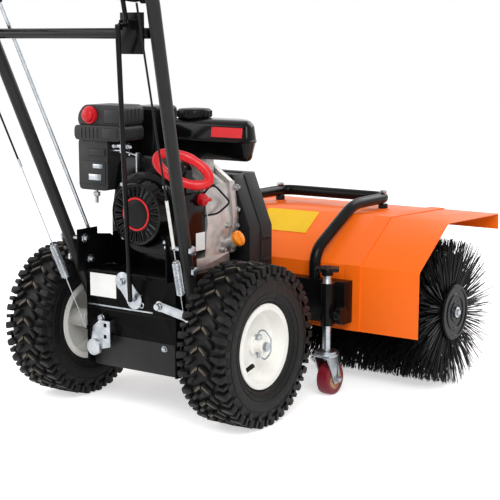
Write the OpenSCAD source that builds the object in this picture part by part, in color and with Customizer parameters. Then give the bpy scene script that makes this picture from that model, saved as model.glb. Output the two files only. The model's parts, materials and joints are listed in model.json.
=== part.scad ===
// Walk-behind power brush sweeper: engine and drive wheels behind, hooded roller brush in front.
// X points right, Y forward, Z up. The pieces are laid out from the middle of the axle on the ground
// and then moved so that the origin lies under the middle of the whole machine.

/* [Wheels] */
// Outer radius of a tyre over its lugs
tyre_r = 170; // [160:1:178]
// Height of the tread lugs
lug_h = 11; // [6:1:16]
// Width of a tyre
tyre_w = 112; // [100:1:116]
// Middle of a tyre from the middle of the chassis
half_track = 235; // [228:1:250]
// Radius of a rim over its flanges
rim_r = 89; // [80:1:96]
// Width of a rim
rim_w = 90; // [80:1:96]
// Radius of the drive axle
axle_r = 9.5; // [8:0.5:12]
// Number of lugs around a tyre
lug_count = 26; // [14:1:32]

/* [Chassis] */
// Width of the chassis box
chassis_w = 242; // [230:1:250]
// Rear face of the chassis behind the axle
chassis_back = 90; // [80:1:100]
// Front face of the chassis ahead of the axle
chassis_front = 163; // [155:1:170]
// Underside of the chassis above the ground
chassis_floor = 97; // [94:1:105]
// Top of the engine deck above the ground
deck_z = 306; // [300:1:318]
// Thickness of the chassis plates
plate_t = 4; // [3:0.5:5]

/* [Handle] */
// Outer radius of the handle tubes
tube_r = 13; // [11:0.5:14]
// Height of the bend below the grips
bend_z = 885; // [870:5:940]
// Length of the grip arms
arm_len = 240; // [220:5:280]

/* [Engine] */
// Crank axis above the ground
crank_z = 430; // [425:1:440]
// Crank axis right of the middle of the chassis
crank_x = 8; // [0:1:12]
// Radius of the recoil cover
recoil_r = 74; // [66:1:78]
// Width of the fuel tank
tank_w = 226; // [200:1:240]
// Height of the fuel tank
tank_h = 86; // [76:1:92]

/* [Belt cover] */
// Width of the belt cover
cover_w = 260; // [250:2:270]
// Depth of both belt cover shells
cover_d = 86; // [80:2:92]
// Wall of the belt cover
cover_t = 3; // [2:0.5:4]

/* [Brush head] */
// Brush head centre right of the middle of the chassis
head_x = 50; // [40:1:60]
// Width of the hood
hood_w = 804; // [760:4:840]
// Thickness of the hood sheet
hood_t = 2.5; // [2:0.5:4]
// Brush axis ahead of the drive axle
brush_y = 520; // [510:1:530]
// Brush axis above the ground
brush_z = 172; // [171:1:176]
// Radius of the brush over the bristles
brush_r = 169; // [150:1:170]
// Radius of the backing that the bristles grow from
backing_r = 58; // [50:1:64]
// Radius of the bumper tube
bumper_r = 13; // [10:0.5:14]

/* [Casters] */
// Radius of a caster wheel
caster_r = 37.5; // [32:0.5:42]
// Width of a caster wheel
caster_w = 30; // [24:1:34]
// Caster stem out from the middle of the brush head
caster_out = 208; // [190:1:215]
// Radius of a caster stem
stem_r = 10; // [8:0.5:12]

/* [Hidden] */
$fn = 48;

// Gaps and overruns
gap = 0.4;
run_gap = 0.05;
cut = 1;

// Wheels and axle
lug_share = 0.5;
carcass_r = tyre_r - lug_h;
tyre_shares = [[0, 0.365], [0.14, 0.365], [0.21, 0.45], [0.42, 0.5], [0.72, 0.49], [0.9, 0.43], [1, 0.3]];
lug_band_shares = [[-0.49, -0.24, 0], [-0.2, 0.2, 0.5], [0.24, 0.49, 0]];
lug_root = 14;
rim_wall = 3;
rim_lip = 10;
dish_x = 8;
rim_hub_r = 21;
hub_reach = 52;
axle_reach = half_track + hub_reach;
linchpin_r = 4;
linchpin_x = half_track + rim_w / 2 - 4 * linchpin_r;
gear_r = 44;
gear_w = 20;
worm_x = -50;
worm_r = 13;
worm_z = tyre_r + gear_r + worm_r + gap;
worm_core_r = 8;

// Chassis
half_w = chassis_w / 2;
boss_r = 22;
boss_w = 10;
panel_z = 168;
cover_slope = 20;
tongue_w = 60;
tongue_h = 35;
tongue_z = 92;
pivot_y = 290;
kingpin_r = 12;
pillar_y = 253;
pillar_d = 14;
pillar_w = 44;
pillar_up = 26;
ear_y = -118;
ear_d = 62;
ear_h = 86;
bolt_r = 5;
bolt_head_h = 6;
gearbox_w = 64;
gearbox_d = 52;
gearbox_wall = 5;
gearbox_top = worm_z + worm_r + 3 * gearbox_wall;
gearbox_bottom = tyre_r - gear_r - 2 * gearbox_wall;
shaft_r = 10;

// Rear linkage
arm_t = 4;
arm_y = -chassis_back - gap;
pivot_r = 8;
shift_pivot = [-16, 288];
shift_hook = [14, 252];
brush_pivot = [81, 246];
brush_hook = [152, 232];
drive_pivot = [-72, 204];
drive_hook = [-108, 178];
bracket_w = 58;
bracket_at = [-100, 131];
bracket_h = 70;
bracket_set = 14;
bracket_y = -chassis_back - bracket_set;
arm_w = 22;
shift_arm_w = 40;
waist_share = 0.88;
flange_t = 4;

// Handle tubes
foot_out = 2;
foot = [half_w + tube_r + foot_out, -52, 236];
lean_shares = [0.138, -0.364, 1];
bend_at = foot + lean_shares * (bend_z - foot.z);
arm_shares = [0.102, -0.968, 0.23];
grip_end = bend_at + arm_shares * arm_len;
bend_r = 40;
bolt_zs = [326, 372];
grip_cap = 4;
grip_r = 17;
grip_len = 130;
lever_r = 4.5;
lever_pivot_z = 862;
pin_r = 4;
lever_hub_r = 9;
lever_hub_w = 10;
lever_pin_share = (lever_pivot_z - foot.z) / (bend_z - foot.z);
lever_at = foot + (bend_at - foot) * lever_pin_share;
brush_pin_in = 19.5;
lever_step = 25;
lever_drop = 3;
drive_pin_out = 41;
lever_back = 225;
lever_up = 8;
crossbar_z = 800;
crossbar_r = 10;
crossbar_set = 1;
crossbar_at = foot + lean_shares * (crossbar_z - foot.z);
console_w = 54;
console_h = 76;
console_t = 3;
shift_set = 25.704;
shift_up = 15;
shift_pivot_y = crossbar_at.y - crossbar_set - shift_set;
shift_pivot_z = crossbar_z + shift_up;
shift_reach = 26;
lever_rise = [0, -26, 115];

// Cables, rods and springs
cable_r = 2.2;
spring_r = 8.5;
wire_r = 1.3;
spring_curls = 16;
spring_len = 78;
spring_hook = 26;
cable_top_y = -301;
cable_top_z = 854;
drive_cable_top = [-lever_at.x - drive_pin_out, cable_top_y, cable_top_z];
brush_cable_top = [lever_at.x - brush_pin_in, cable_top_y, cable_top_z];
drive_spring_low = [drive_hook.x - arm_w / 4, arm_y - 3 * arm_t, drive_hook.y];
brush_spring_low = [brush_hook.x, arm_y - 3 * arm_t, brush_hook.y];
drive_hook_len = 118;
brush_hook_len = 52;
shift_rod_r = 5;
shift_rod_x = 165;
shift_rod_top = [shift_rod_x, shift_pivot_y - shift_reach, shift_pivot_z];
shift_rod_low = [shift_hook.x, arm_y - 4 * arm_t, shift_hook.y];
swivel_rod_r = 4;
swivel_low = [-half_w - swivel_rod_r - gap, -60, 360];
swivel_top = [-178, -274, 880];
swivel_knob_r = 14;

// Engine
engine_y = 46;
case_set = 4;
case_front = chassis_front - case_set;
base_h = 24;
base_w = 178;
base_back = 10;
base_front = 132;
case_shares = [[-0.42, 0], [0.48, 0], [0.52, 0.4], [0.46, 0.8], [0.16, 1], [-0.4, 0.94], [-0.5, 0.5]];
case_w = 182;
case_h = 190;
flange_out = 6;
flange_d = 14;
tank_arm_y = 100;
tank_arm_d = 26;
neck_len = 60;
shroud_back = -50;
shroud_r = 86;
shroud_wall = 2;
shroud_side = 96;
shroud_up = 40;
recoil_d = 26;
recoil_wall = 2.5;
recoil_slots = 24;
slot_w = 4;
flywheel_r = 66;
flywheel_d = 40;
crank_r = 11;
crank_pulley_r = 30;
belt_w = 10;
belt_t = 7;
belt_sets = [22, 52];
drive_belt_y = chassis_front + belt_sets[0];
brush_belt_y = chassis_front + belt_sets[1];
worm_pulley_r = 48;
input_pulley_r = 33;
grip_loop = [57, 25];
loop_r = 9.5;
loop_at = [121, -62, 529];
rope_r = 2.5;
rope_set_share = 0.7;
loop_long_shares = [0.78, 0.47, -0.41];
view_shares = [-0.56, 0.81, -0.16];
tank_left = -44;
tank_back = 80;
tank_d = 92;
tank_z = 534;
seam_t = 4;
seam_out = 8;
tank_draft = 10;
cap_r = 39;
cap_h = 20;
cap_at = [10, 124];
tank_corner = [66, 88];
air_x = -194;
air_w = 130;
air_back = -38;
air_d = 78;
air_z = 516;
air_h = 134;
air_band = 12;
air_low_w = 88;
air_drop = 50;
air_band_h = 32;
air_lid_h = 44;
knob_r = 19;
knob_d = 20;
knob_at = [-152, 628];
bulb_press = 6;
pocket_d = 8;
carb_w = 46;
carb_h = 42;
carb_x = -150;
carb_bowl_r = 17;
carb_bowl_h = 18;
intake_r = 9;
intake_y = 60;
carb_back = 8;
carb_front = 74;
carb_top = air_z;
muffler_x = -134;
muffler_w = 80;
muffler_y = 66;
muffler_d = 84;
muffler_z = 532;
muffler_h = 112;
guard_t = 2;
pipe_r = 14;
oil_at = [124, 120, 362];
oil_r = 17;
oil_d = 16;
neck_share = 0.8;
switch_at = [30, 456];
switch_r = 13;
switch_d = 16;

// Belt cover
cover_front = chassis_front + cover_d;
cover_low = 130;
cover_shoulder = 380;
cover_top = 496;
cover_top_w = 166;

// Brush head
beam_past = 30;
crossbeam_w = 2 * (caster_out + beam_past);
crossbeam_z = 161;
crossbeam_h = 95;
crossbeam_back = 302;
hood_back = 338;
crossbeam_front = hood_back - gap;
fork_t = 10;
fork_r = 20;
ball_r = 15;
cup_wall = 6;
cup_lip = 4;
cup_step = 15;
head_shaft_r = 9;
arm_tube_r = 26;
gearbox_r = 46;
head_gearbox_w = 64;
pinion_r = 11;
bevel_r = 32;
bevel_t = 8;
boss_lip = 2;
boss_len = gearbox_r + boss_lip;
hood_low = 141;
hood_fold_z = 289;
hood_fold_y = 340;
hood_top_y = 477;
hood_top_z = 383;
hood_front_y = 750;
hood_front_z = 374;
hood_flap = 38;
bumper_half = 150;
bumper_back = 319;
bumper_knee_z = 316;
bumper_slope_y = 487;
bumper_top_z = 405;
bumper_front_y = 655;
bumper_bend = 36;
bolt_y = 632;
spacer_r = 9;
core_r = 44;
brush_shaft_r = 12.5;
brush_past = 2;
disc_r = 64;
disc_t = 4;
rows = 10;
strands = 18;
strand_w = 5;
tip_share = 0.6;
lean_angle = 4;

// Casters
stem_y = 278;
holder_r = 14.5;
holder_web = 18;
star_r = 29;
star_t = 9;
star_neck_r = 12;
star_z = 283;
clamp_r = 21;
clamp_t = 14;
clamp_z = 187;
clamp_stem_r = 5;
fork_pin_r = 6;
fork_pin_z = 82;
star_core_share = 0.74;
lobe_share = 0.24;
fork_top = 104;
race_r = 26;
race_h = 12;
caster_trail = 16;
fork_sheet = 3;
caster_axle_r = 5;
caster_core_r = 24;

// Where the origin lies
rear_y = grip_end.y + arm_shares.y * grip_cap - grip_r * sqrt(1 - arm_shares.y * arm_shares.y);
mid_y = (rear_y + hood_front_y) / 2;

// Colours
black = "#1b1b1d";
dark_grey = "#3a3a3d";
zinc = "#c9ced2";
cream = "#ece9df";
orange = "#f46a1b";
aluminium = "#b9b6b3";
red = "#e2262e";
rubber = "#222222";

// Helpers
function unit(v) = v / norm(v);
function mirror_x(p) = [-p.x, p.y, p.z];
function bezier(a, b, c, t) = (1 - t) * (1 - t) * a + 2 * t * (1 - t) * b + t * t * c;
// A path through corner points with a round bend at each inner corner
function bent(pts, r, steps) = [for (i = [0 : len(pts) - 1])
    each (i == 0 || i == len(pts) - 1) ? [pts[i]]
    : let (a = pts[i] + unit(pts[i - 1] - pts[i]) * r, c = pts[i] + unit(pts[i + 1] - pts[i]) * r)
      [for (s = [0 : steps]) bezier(a, pts[i], c, s / steps)]];
function tangent(path, i, loop) = let (n = len(path))
    loop ? unit(path[(i + 1) % n] - path[(i + n - 1) % n])
    : unit(path[min(i + 1, n - 1)] - path[max(i - 1, 0)]);
function ring(p, t, ref, r, sides) = let (u = unit(cross(t, ref)), v = cross(t, u))
    [for (k = [0 : sides - 1]) p + r * (cos(360 * k / sides) * u + sin(360 * k / sides) * v)];

// A round tube along a path, made of triangles
module sweep(path, r, sides, ref, loop = false) {
    n = len(path);
    pts = [for (i = [0 : n - 1]) each ring(path[i], tangent(path, i, loop), ref, r, sides)];
    last = loop ? n - 1 : n - 2;
    walls = [for (i = [0 : last], k = [0 : sides - 1])
        let (a = i * sides + k, b = i * sides + (k + 1) % sides, j = (i + 1) % n)
        let (c = j * sides + k, d = j * sides + (k + 1) % sides)
        each [[a, d, b], [a, c, d]]];
    caps = loop ? [] : [for (k = [1 : sides - 2])
        each [[0, k, k + 1], [(n - 1) * sides, (n - 1) * sides + k + 1, (n - 1) * sides + k]]];
    polyhedron(points = pts, faces = concat(walls, caps));
}

module slab(low, high) {
    translate(low) cube(high - low);
}

module x_cyl(x0, x1, r) {
    translate([x0, 0, 0]) rotate([0, 90, 0]) cylinder(h = x1 - x0, r = r);
}

module y_cyl(y0, y1, r) {
    translate([0, y0, 0]) rotate([-90, 0, 0]) cylinder(h = y1 - y0, r = r);
}

// A straight rod between two points
module rod(a, b, r) {
    d = b - a;
    translate(a) rotate([0, acos(d.z / norm(d)), atan2(d.y, d.x)]) cylinder(h = norm(d), r = r);
}

// A flat outline in X and Z pushed along Y
module along_y(y0, y1) {
    translate([0, y1, 0]) rotate([90, 0, 0]) linear_extrude(y1 - y0) children();
}

// A flat outline in Y and Z pushed along X
module along_x(x0, x1) {
    translate([x0, 0, 0]) rotate([90, 0, 90]) linear_extrude(x1 - x0) children();
}

// A profile in radius and X turned about the X axis
module turned_x() {
    rotate([0, 90, 0]) rotate_extrude($fn = 96) children();
}

module hex_head(r, h) {
    cylinder(h = h, r = r, $fn = 6);
}

// A flat link with round ends in the X Z plane
module link(a, b, w, t) {
    d = b - a;
    along_y(-t, 0) {
        translate(a) circle(w / 2);
        translate(b) circle(w / 2);
        translate(a) rotate(atan2(d.y, d.x)) translate([0, -waist_share * w / 2])
            square([norm(d), waist_share * w]);
    }
}

module place() {
    translate([-head_x, -mid_y, 0]) children();
}

module star_outline(r, lobes) {
    circle(r * star_core_share);
    for (i = [0 : lobes - 1]) rotate(360 * i / lobes)
        translate([r * (1 - lobe_share), 0]) circle(r * lobe_share);
}

// Wheels and axle
module at_axle() {
    translate([0, 0, tyre_r]) children();
}

module tyre() {
    seat = rim_r - rim_lip + gap;
    depth = carcass_r - seat;
    half = [for (s = tyre_shares) [seat + s[0] * depth, s[1] * tyre_w]];
    lower = [for (i = [len(half) - 1 : -1 : 0]) [half[i].x, -half[i].y]];
    turned_x() polygon(concat(half, lower));
    for (b = lug_band_shares) lug_band(b[0] * tyre_w, b[1] * tyre_w, b[2]);
}

// A band of flat lugs, one of which lies flat on the ground at rest
module lug_band(x0, x1, turn_share) {
    pitch = 360 / lug_count;
    root = carcass_r - lug_root;
    half = lug_share * pitch / 2;
    tip = tyre_r / cos(half);
    pts = [for (i = [0 : lug_count - 1]) let (a = (i + turn_share) * pitch - half, b = a + 2 * half)
        each [[root, a], [tip, a], [tip, b], [root, b]]];
    translate([x0, 0, 0]) rotate([0, 90, 0]) linear_extrude(x1 - x0) difference() {
        polygon([for (p = pts) p.x * [cos(p.y), sin(p.y)]]);
        circle(root - lug_root);
    }
}

module tyres() {
    color(rubber) place() for (s = [-1, 1]) translate([s * half_track, 0, 0]) at_axle() tyre();
}

module rim() {
    seat = rim_r - rim_lip;
    half = rim_w / 2;
    difference() {
        turned_x() {
            translate([seat - rim_wall, -half]) square([rim_wall, rim_w]);
            translate([seat - rim_wall, -half]) square([rim_wall + rim_lip, rim_wall]);
            translate([seat - rim_wall, half - rim_wall]) square([rim_wall + rim_lip, rim_wall]);
            translate([axle_r + run_gap, dish_x]) square([seat - axle_r - rim_wall, rim_wall]);
            translate([axle_r + run_gap, -half]) square([rim_hub_r - axle_r, rim_w]);
        }
        translate([linchpin_x - half_track, 0, -rim_hub_r - cut])
            cylinder(h = 2 * (rim_hub_r + cut), r = linchpin_r + run_gap);
    }
}

module rims() {
    color(cream) place() for (s = [0, 1]) mirror([s, 0, 0]) translate([half_track, 0, 0]) at_axle() rim();
}

module drive_axle() {
    color(zinc) place() difference() {
        at_axle() {
            x_cyl(-axle_reach, axle_reach, axle_r);
            translate([worm_x, 0, 0]) x_cyl(-gear_w / 2, gear_w / 2, gear_r);
        }
        for (s = [-1, 1]) translate([s * linchpin_x, 0, 0])
            cylinder(h = 2 * tyre_r, r = linchpin_r + run_gap);
    }
}

module wheel_linchpins() {
    color(zinc) place() for (s = [-1, 1]) translate([s * linchpin_x, 0, tyre_r]) {
        translate([0, 0, -rim_hub_r - linchpin_r])
            cylinder(h = 2 * rim_hub_r + 2 * linchpin_r, r = linchpin_r);
        translate([0, 0, rim_hub_r + gap]) cylinder(h = 2 * linchpin_r, r = 2 * linchpin_r);
    }
}

// Chassis
module chassis_frame() {
    worm_hole_r = 2 * worm_r;
    color(black) place() difference() {
        union() {
            for (s = [0, 1]) mirror([s, 0, 0]) {
                slab([half_w - plate_t, -chassis_back, chassis_floor], [half_w, chassis_front, deck_z]);
                at_axle() x_cyl(half_w - boss_w, half_w + boss_w, boss_r);
            }
            slab([-half_w, -chassis_back, deck_z - plate_t], [half_w, chassis_front, deck_z]);
            slab([-half_w, -chassis_back, panel_z], [half_w, plate_t - chassis_back, deck_z]);
            slab([-half_w, chassis_front - plate_t, chassis_floor], [half_w, chassis_front, deck_z]);
            for (s = [0, 1]) mirror([s, 0, 0])
                slab([half_w - plate_t, ear_y, deck_z - plate_t], [half_w, ear_y + ear_d, deck_z + ear_h]);
            for (p = [shift_pivot, brush_pivot, drive_pivot]) translate([p.x, 0, p.y])
                y_cyl(arm_y - 2 * arm_t, plate_t / 2 - chassis_back, pin_r);
            tongue();
        }
        at_axle() x_cyl(-half_w - boss_w - cut, half_w + boss_w + cut, axle_r + run_gap);
        translate([worm_x, 0, worm_z]) y_cyl(chassis_front - 2 * plate_t, chassis_front + cut, worm_hole_r);
        translate([head_x, pivot_y, tongue_z - cut])
            cylinder(h = tongue_h + 2 * cut, r = kingpin_r + run_gap);
        translate([head_x, 0, brush_z])
            y_cyl(pillar_y - cut, pillar_y + pillar_d + cut, shaft_r + run_gap);
        for (z = bolt_zs) handle_bolt_line(z, bolt_r + run_gap);
    }
}

// Beam that carries the brush head, with the bearing pillar of the input shaft
module tongue() {
    half = tongue_w / 2;
    slab([head_x - half, chassis_front - plate_t, tongue_z], [head_x + half, pivot_y, tongue_z + tongue_h]);
    translate([head_x, pivot_y, tongue_z]) cylinder(h = tongue_h, r = half);
    slab([head_x - pillar_w / 2, pillar_y, tongue_z],
        [head_x + pillar_w / 2, pillar_y + pillar_d, brush_z + pillar_up]);
}

module bottom_cover() {
    color(dark_grey) place() along_x(-half_w + plate_t + gap, half_w - plate_t - gap) polygon([
        [-chassis_back, panel_z - gap], [plate_t - chassis_back, panel_z - gap],
        [plate_t - chassis_back + cover_slope, chassis_floor - plate_t],
        [cover_slope - chassis_back, chassis_floor - plate_t]]);
}

module gearbox() {
    half = gearbox_w / 2;
    color(aluminium) place() difference() {
        slab([worm_x - half, -gearbox_d, gearbox_bottom], [worm_x + half, gearbox_d, gearbox_top]);
        translate([worm_x, 0, 0]) at_axle()
            x_cyl(-gear_w / 2 - gearbox_wall, gear_w / 2 + gearbox_wall, gear_r + gearbox_wall / 2);
        at_axle() x_cyl(worm_x - half - cut, worm_x + half + cut, axle_r + run_gap);
        translate([worm_x, 0, worm_z]) {
            y_cyl(gearbox_wall - gearbox_d, gearbox_d - gearbox_wall, worm_r + gap);
            y_cyl(-gearbox_d - cut, gearbox_d + cut, worm_core_r + run_gap);
        }
    }
}

module pulley(y, r) {
    y_cyl(y - belt_w, y + belt_w, r - belt_t - gap);
    y_cyl(y - belt_w, y - belt_w + flange_t, r);
    y_cyl(y + belt_w - flange_t, y + belt_w, r);
}

module worm_shaft() {
    color(zinc) place() translate([worm_x, 0, worm_z]) {
        y_cyl(-gearbox_d, drive_belt_y + belt_w, worm_core_r);
        y_cyl(2 * gearbox_wall - gearbox_d, gearbox_d - 2 * gearbox_wall, worm_r - gap);
        pulley(drive_belt_y, worm_pulley_r);
    }
}

// A flat arm with its pivot boss and the pin that carries a rod or spring
module pivot_arm(pivot, hook, pin_at, pin_len, w) {
    translate([0, arm_y, 0]) difference() {
        union() {
            link(pivot, hook, w, arm_t);
            translate([pivot.x, 0, pivot.y]) y_cyl(-2 * arm_t, 0, pivot_r);
            translate([pin_at.x, 0, pin_at.y]) y_cyl(-pin_len, 0, pin_r);
        }
        translate([pivot.x, 0, pivot.y]) y_cyl(-3 * arm_t, cut, pin_r + run_gap);
    }
}

module shift_arm() {
    color(zinc) place()
        pivot_arm(shift_pivot, shift_hook, shift_hook, 4 * arm_t - shift_rod_r - gap, shift_arm_w);
}

module drive_arm() {
    color(zinc) place() pivot_arm(drive_pivot, drive_hook, [drive_spring_low.x, drive_spring_low.z],
        3 * arm_t - wire_r - gap, arm_w);
}

module brush_arm() {
    color(zinc) place() pivot_arm(brush_pivot, brush_hook, [brush_spring_low.x, brush_spring_low.z],
        3 * arm_t - wire_r - gap, arm_w);
}

module guide_bracket() {
    sheet = arm_t;
    color(zinc) place() difference() {
        union() {
            along_y(bracket_y - sheet, bracket_y) polygon([
                [bracket_at.x, bracket_at.y], [bracket_at.x + bracket_w, bracket_at.y + bracket_w / 4],
                [bracket_at.x + bracket_w, bracket_at.y + bracket_h],
                [bracket_at.x + bracket_w / 2, bracket_at.y + bracket_h],
                [bracket_at.x + bracket_w / 5, bracket_at.y + bracket_h * 0.8]]);
            slab([bracket_at.x + bracket_w - sheet, bracket_y - sheet, bracket_at.y + bracket_w * 0.75],
                [bracket_at.x + bracket_w, -chassis_back, bracket_at.y + bracket_h]);
            translate([bracket_at.x + bracket_w * 0.3, 0, bracket_at.y + bracket_w * 0.2])
                y_cyl(bracket_y - 3 * sheet, bracket_y, bracket_w * 0.3);
        }
        for (s = [0.45, 0.8]) slab(
            [bracket_at.x + bracket_w * 0.7, bracket_y - sheet - cut, bracket_at.y + bracket_h * s],
            [bracket_at.x + bracket_w * 0.84, bracket_y + cut, bracket_at.y + bracket_h * (s + 0.12)]);
    }
}

// Handle
module handle_bolt_line(z, r) {
    p = foot + lean_shares * (z - foot.z);
    reach = p.x + 2 * tube_r;
    translate([0, p.y, z]) x_cyl(-reach, reach, r);
}

module handle_tube(pin_in, pin_out) {
    difference() {
        union() {
            sweep(bent([foot, bend_at, grip_end], bend_r, 5), tube_r, 16, [1, 0, 0]);
            translate([lever_at.x, lever_at.y, lever_at.z]) x_cyl(-pin_in, pin_out, pin_r);
        }
        for (z = bolt_zs) handle_bolt_line(z, bolt_r + run_gap);
    }
}

module handle_left() {
    color(black) place() mirror([1, 0, 0])
        handle_tube(0, drive_pin_out + lever_hub_w);
}

module handle_right() {
    color(black) place() handle_tube(brush_pin_in + lever_hub_w, 0);
}

module handle_bolts() {
    color(zinc) place() for (z = bolt_zs, s = [0, 1]) mirror([s, 0, 0]) {
        p = foot + lean_shares * (z - foot.z);
        out = p.x + tube_r + gap + lean_shares.x * 2 * bolt_r;
        translate([0, p.y, z]) {
            x_cyl(half_w - plate_t - 2 * bolt_head_h, out + bolt_head_h, bolt_r);
            translate([out, 0, 0]) rotate([0, 90, 0]) hex_head(2 * bolt_r, bolt_head_h);
            translate([half_w - plate_t - gap - bolt_head_h, 0, 0]) rotate([0, 90, 0])
                hex_head(2 * bolt_r, bolt_head_h);
        }
    }
}

module grips() {
    color(rubber) place() for (s = [0, 1]) mirror([s, 0, 0]) difference() {
        rod(grip_end - arm_shares * grip_len, grip_end + arm_shares * grip_cap, grip_r);
        rod(grip_end - arm_shares * (grip_len + cut), grip_end + arm_shares * gap, tube_r + run_gap);
    }
}

// Cross tube between the handles with the plate that carries the shift lever
module console() {
    y = crossbar_at.y - crossbar_set;
    end = crossbar_at.x - tube_r * 1.03 - lean_shares.x * crossbar_r;
    plate_x = shift_rod_top.x;
    color(black) place() {
        translate([0, y, crossbar_z]) x_cyl(-end, end, crossbar_r);
        slab([plate_x - console_w / 2, y - crossbar_r - console_t, crossbar_z - console_h / 2],
            [plate_x + console_w / 2, y - crossbar_r * 0.8, crossbar_z + console_h / 2]);
        for (s = [-1, 1]) translate([plate_x + s * lever_hub_w, 0, 0])
            slab([-console_t / 2, shift_pivot_y - lever_hub_r, shift_pivot_z - lever_hub_r],
                [console_t / 2, y - crossbar_r, shift_pivot_z + lever_hub_r]);
        translate([plate_x, shift_pivot_y, shift_pivot_z]) x_cyl(-lever_hub_w, lever_hub_w, pin_r);
    }
}

module shift_lever() {
    pivot = [shift_rod_top.x, shift_pivot_y, shift_pivot_z];
    top = pivot + lever_rise;
    rod_slope = (shift_rod_low.y - shift_rod_top.y) / (shift_rod_top.z - shift_rod_low.z);
    hook_y = shift_rod_top.y + shift_rod_r + gap + (lever_r + shift_rod_r / 4) * rod_slope;
    color(black) place() difference() {
        union() {
            rod(pivot, top, lever_r);
            rod(pivot, [pivot.x, hook_y, pivot.z], lever_r);
            translate(pivot) x_cyl(-lever_hub_w / 2, lever_hub_w / 2, lever_hub_r);
            translate(top) sphere(3.5 * lever_r);
        }
        translate(pivot) x_cyl(-lever_hub_w, lever_hub_w, pin_r + run_gap);
    }
}

// One clutch lever: its hub, the cable hook behind the hub and the long arm below the grip
module clutch_lever(hub_x) {
    hub = [hub_x, lever_at.y, lever_at.z];
    knee = [hub_x, lever_at.y - lever_step, lever_at.z - lever_drop];
    end = [grip_end.x - tube_r, lever_at.y - lever_back, lever_at.z + lever_up];
    difference() {
        union() {
            sweep(bent([hub, knee, end], lever_hub_w, 4), lever_r, 10, [1, 0, 0.2]);
            translate(hub) x_cyl(-lever_hub_w / 2, lever_hub_w / 2, lever_hub_r);
        }
        translate(hub) x_cyl(-lever_hub_w, lever_hub_w, pin_r + run_gap);
    }
}

module drive_lever() {
    color(black) place() mirror([1, 0, 0])
        clutch_lever(lever_at.x + drive_pin_out);
}

module brush_lever() {
    color(black) place() clutch_lever(lever_at.x - brush_pin_in);
}

module shift_rod() {
    color(black) place() rod(shift_rod_low, shift_rod_top, shift_rod_r);
}

module swivel_rod() {
    color(zinc) place() {
        rod(swivel_low, swivel_top, swivel_rod_r);
        translate(swivel_top) sphere(swivel_knob_r);
    }
}

function spring_point(low, top, s) = low + unit(top - low) * s;

module control_cables() {
    color(black) place() {
        rod(spring_point(drive_spring_low, drive_cable_top, drive_hook_len + spring_len + spring_hook),
            drive_cable_top, cable_r);
        rod(spring_point(brush_spring_low, brush_cable_top, brush_hook_len + spring_len + spring_hook),
            brush_cable_top, cable_r);
    }
}

// Path of a tension spring: hook wire, curls and a tail that ends at the cable
function spring_path(low, top, hook_len) = let (d = unit(top - low), u = unit(cross(d, [1, 0, 0])))
    let (v = cross(d, u), n = spring_curls * 8, r = spring_r - wire_r)
    concat([low], [for (i = [0 : n]) low + d * (hook_len + spring_len * i / n)
        + r * (cos(45 * i) * u + sin(45 * i) * v)],
        [low + d * (hook_len + spring_len + spring_hook - gap)]);
spring_gap = min([for (k = [0 : 7]) let (p = spring_path(drive_spring_low, drive_cable_top, drive_hook_len))
    norm(p[9 + k] - p[1 + k]) - 2 * wire_r]);
echo(least_spring_gap = spring_gap);

module drive_spring() {
    axis = unit(drive_cable_top - drive_spring_low);
    color(zinc) place()
        sweep(spring_path(drive_spring_low, drive_cable_top, drive_hook_len), wire_r, 6, axis);
}

module brush_spring() {
    axis = unit(brush_cable_top - brush_spring_low);
    color(zinc) place()
        sweep(spring_path(brush_spring_low, brush_cable_top, brush_hook_len), wire_r, 6, axis);
}

// Engine
module at_crank() {
    translate([crank_x, 0, crank_z]) children();
}

module turned_y() {
    rotate([90, 0, 0]) rotate_extrude($fn = 96) children();
}

module case_outline(grow) {
    low = deck_z + base_h;
    polygon([for (s = case_shares) [crank_x + s[0] * (case_w + 2 * grow), low + s[1] * (case_h + grow)]]);
}

module crankcase() {
    case_top = deck_z + base_h + case_h;
    color(aluminium) place() difference() {
        union() {
            slab([crank_x - base_w / 2, base_back, deck_z],
                [crank_x + base_w / 2, base_front, deck_z + base_h + cut]);
            along_y(engine_y, case_front) case_outline(0);
            along_y(case_front - 2 * flange_d, case_front - flange_d) case_outline(flange_out);
            slab([crank_x, tank_arm_y, case_top - tank_arm_d],
                [crank_x + 2 * tank_arm_d, tank_arm_y + tank_arm_d, tank_z]);
            rod(oil_at - neck_len * unit([2, 0, 1]), oil_at, oil_r * neck_share);
            translate([0, intake_y, carb_top - carb_h / 2]) x_cyl(carb_x + carb_w, crank_x, intake_r);
            translate([muffler_x + muffler_w - pipe_r, muffler_y + muffler_d / 2, crank_z])
                cylinder(h = muffler_z - crank_z, r = pipe_r);
        }
        at_crank() y_cyl(engine_y - cut, case_front + cut, crank_r + run_gap);
    }
}

module shroud_outline(wall) {
    circle(shroud_r - wall, $fn = 96);
    translate([0, wall - shroud_r]) square([shroud_side - crank_x - wall, shroud_r + shroud_up - 2 * wall]);
}

module fan_shroud() {
    color(black) place() at_crank() difference() {
        along_y(shroud_back, engine_y) shroud_outline(0);
        along_y(shroud_back + shroud_wall, engine_y + cut) shroud_outline(shroud_wall);
        y_cyl(shroud_back - cut, engine_y, recoil_r - recoil_wall * 2);
    }
}

module recoil_cover() {
    flat_r = recoil_r * 0.86;
    color(dark_grey) place() at_crank() translate([0, shroud_back, 0]) difference() {
        turned_y() polygon([[0, recoil_d - recoil_wall], [0, recoil_d], [flat_r, recoil_d], [recoil_r, 0],
            [recoil_r - recoil_wall, 0], [flat_r - recoil_wall, recoil_d - recoil_wall]]);
        for (i = [0 : recoil_slots - 1]) rotate([0, 360 * i / recoil_slots, 0])
            slab([flat_r * 0.58, -recoil_d - cut, -slot_w / 2],
                [flat_r * 0.9, -recoil_d + recoil_wall + cut, slot_w / 2]);
    }
}

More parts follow.
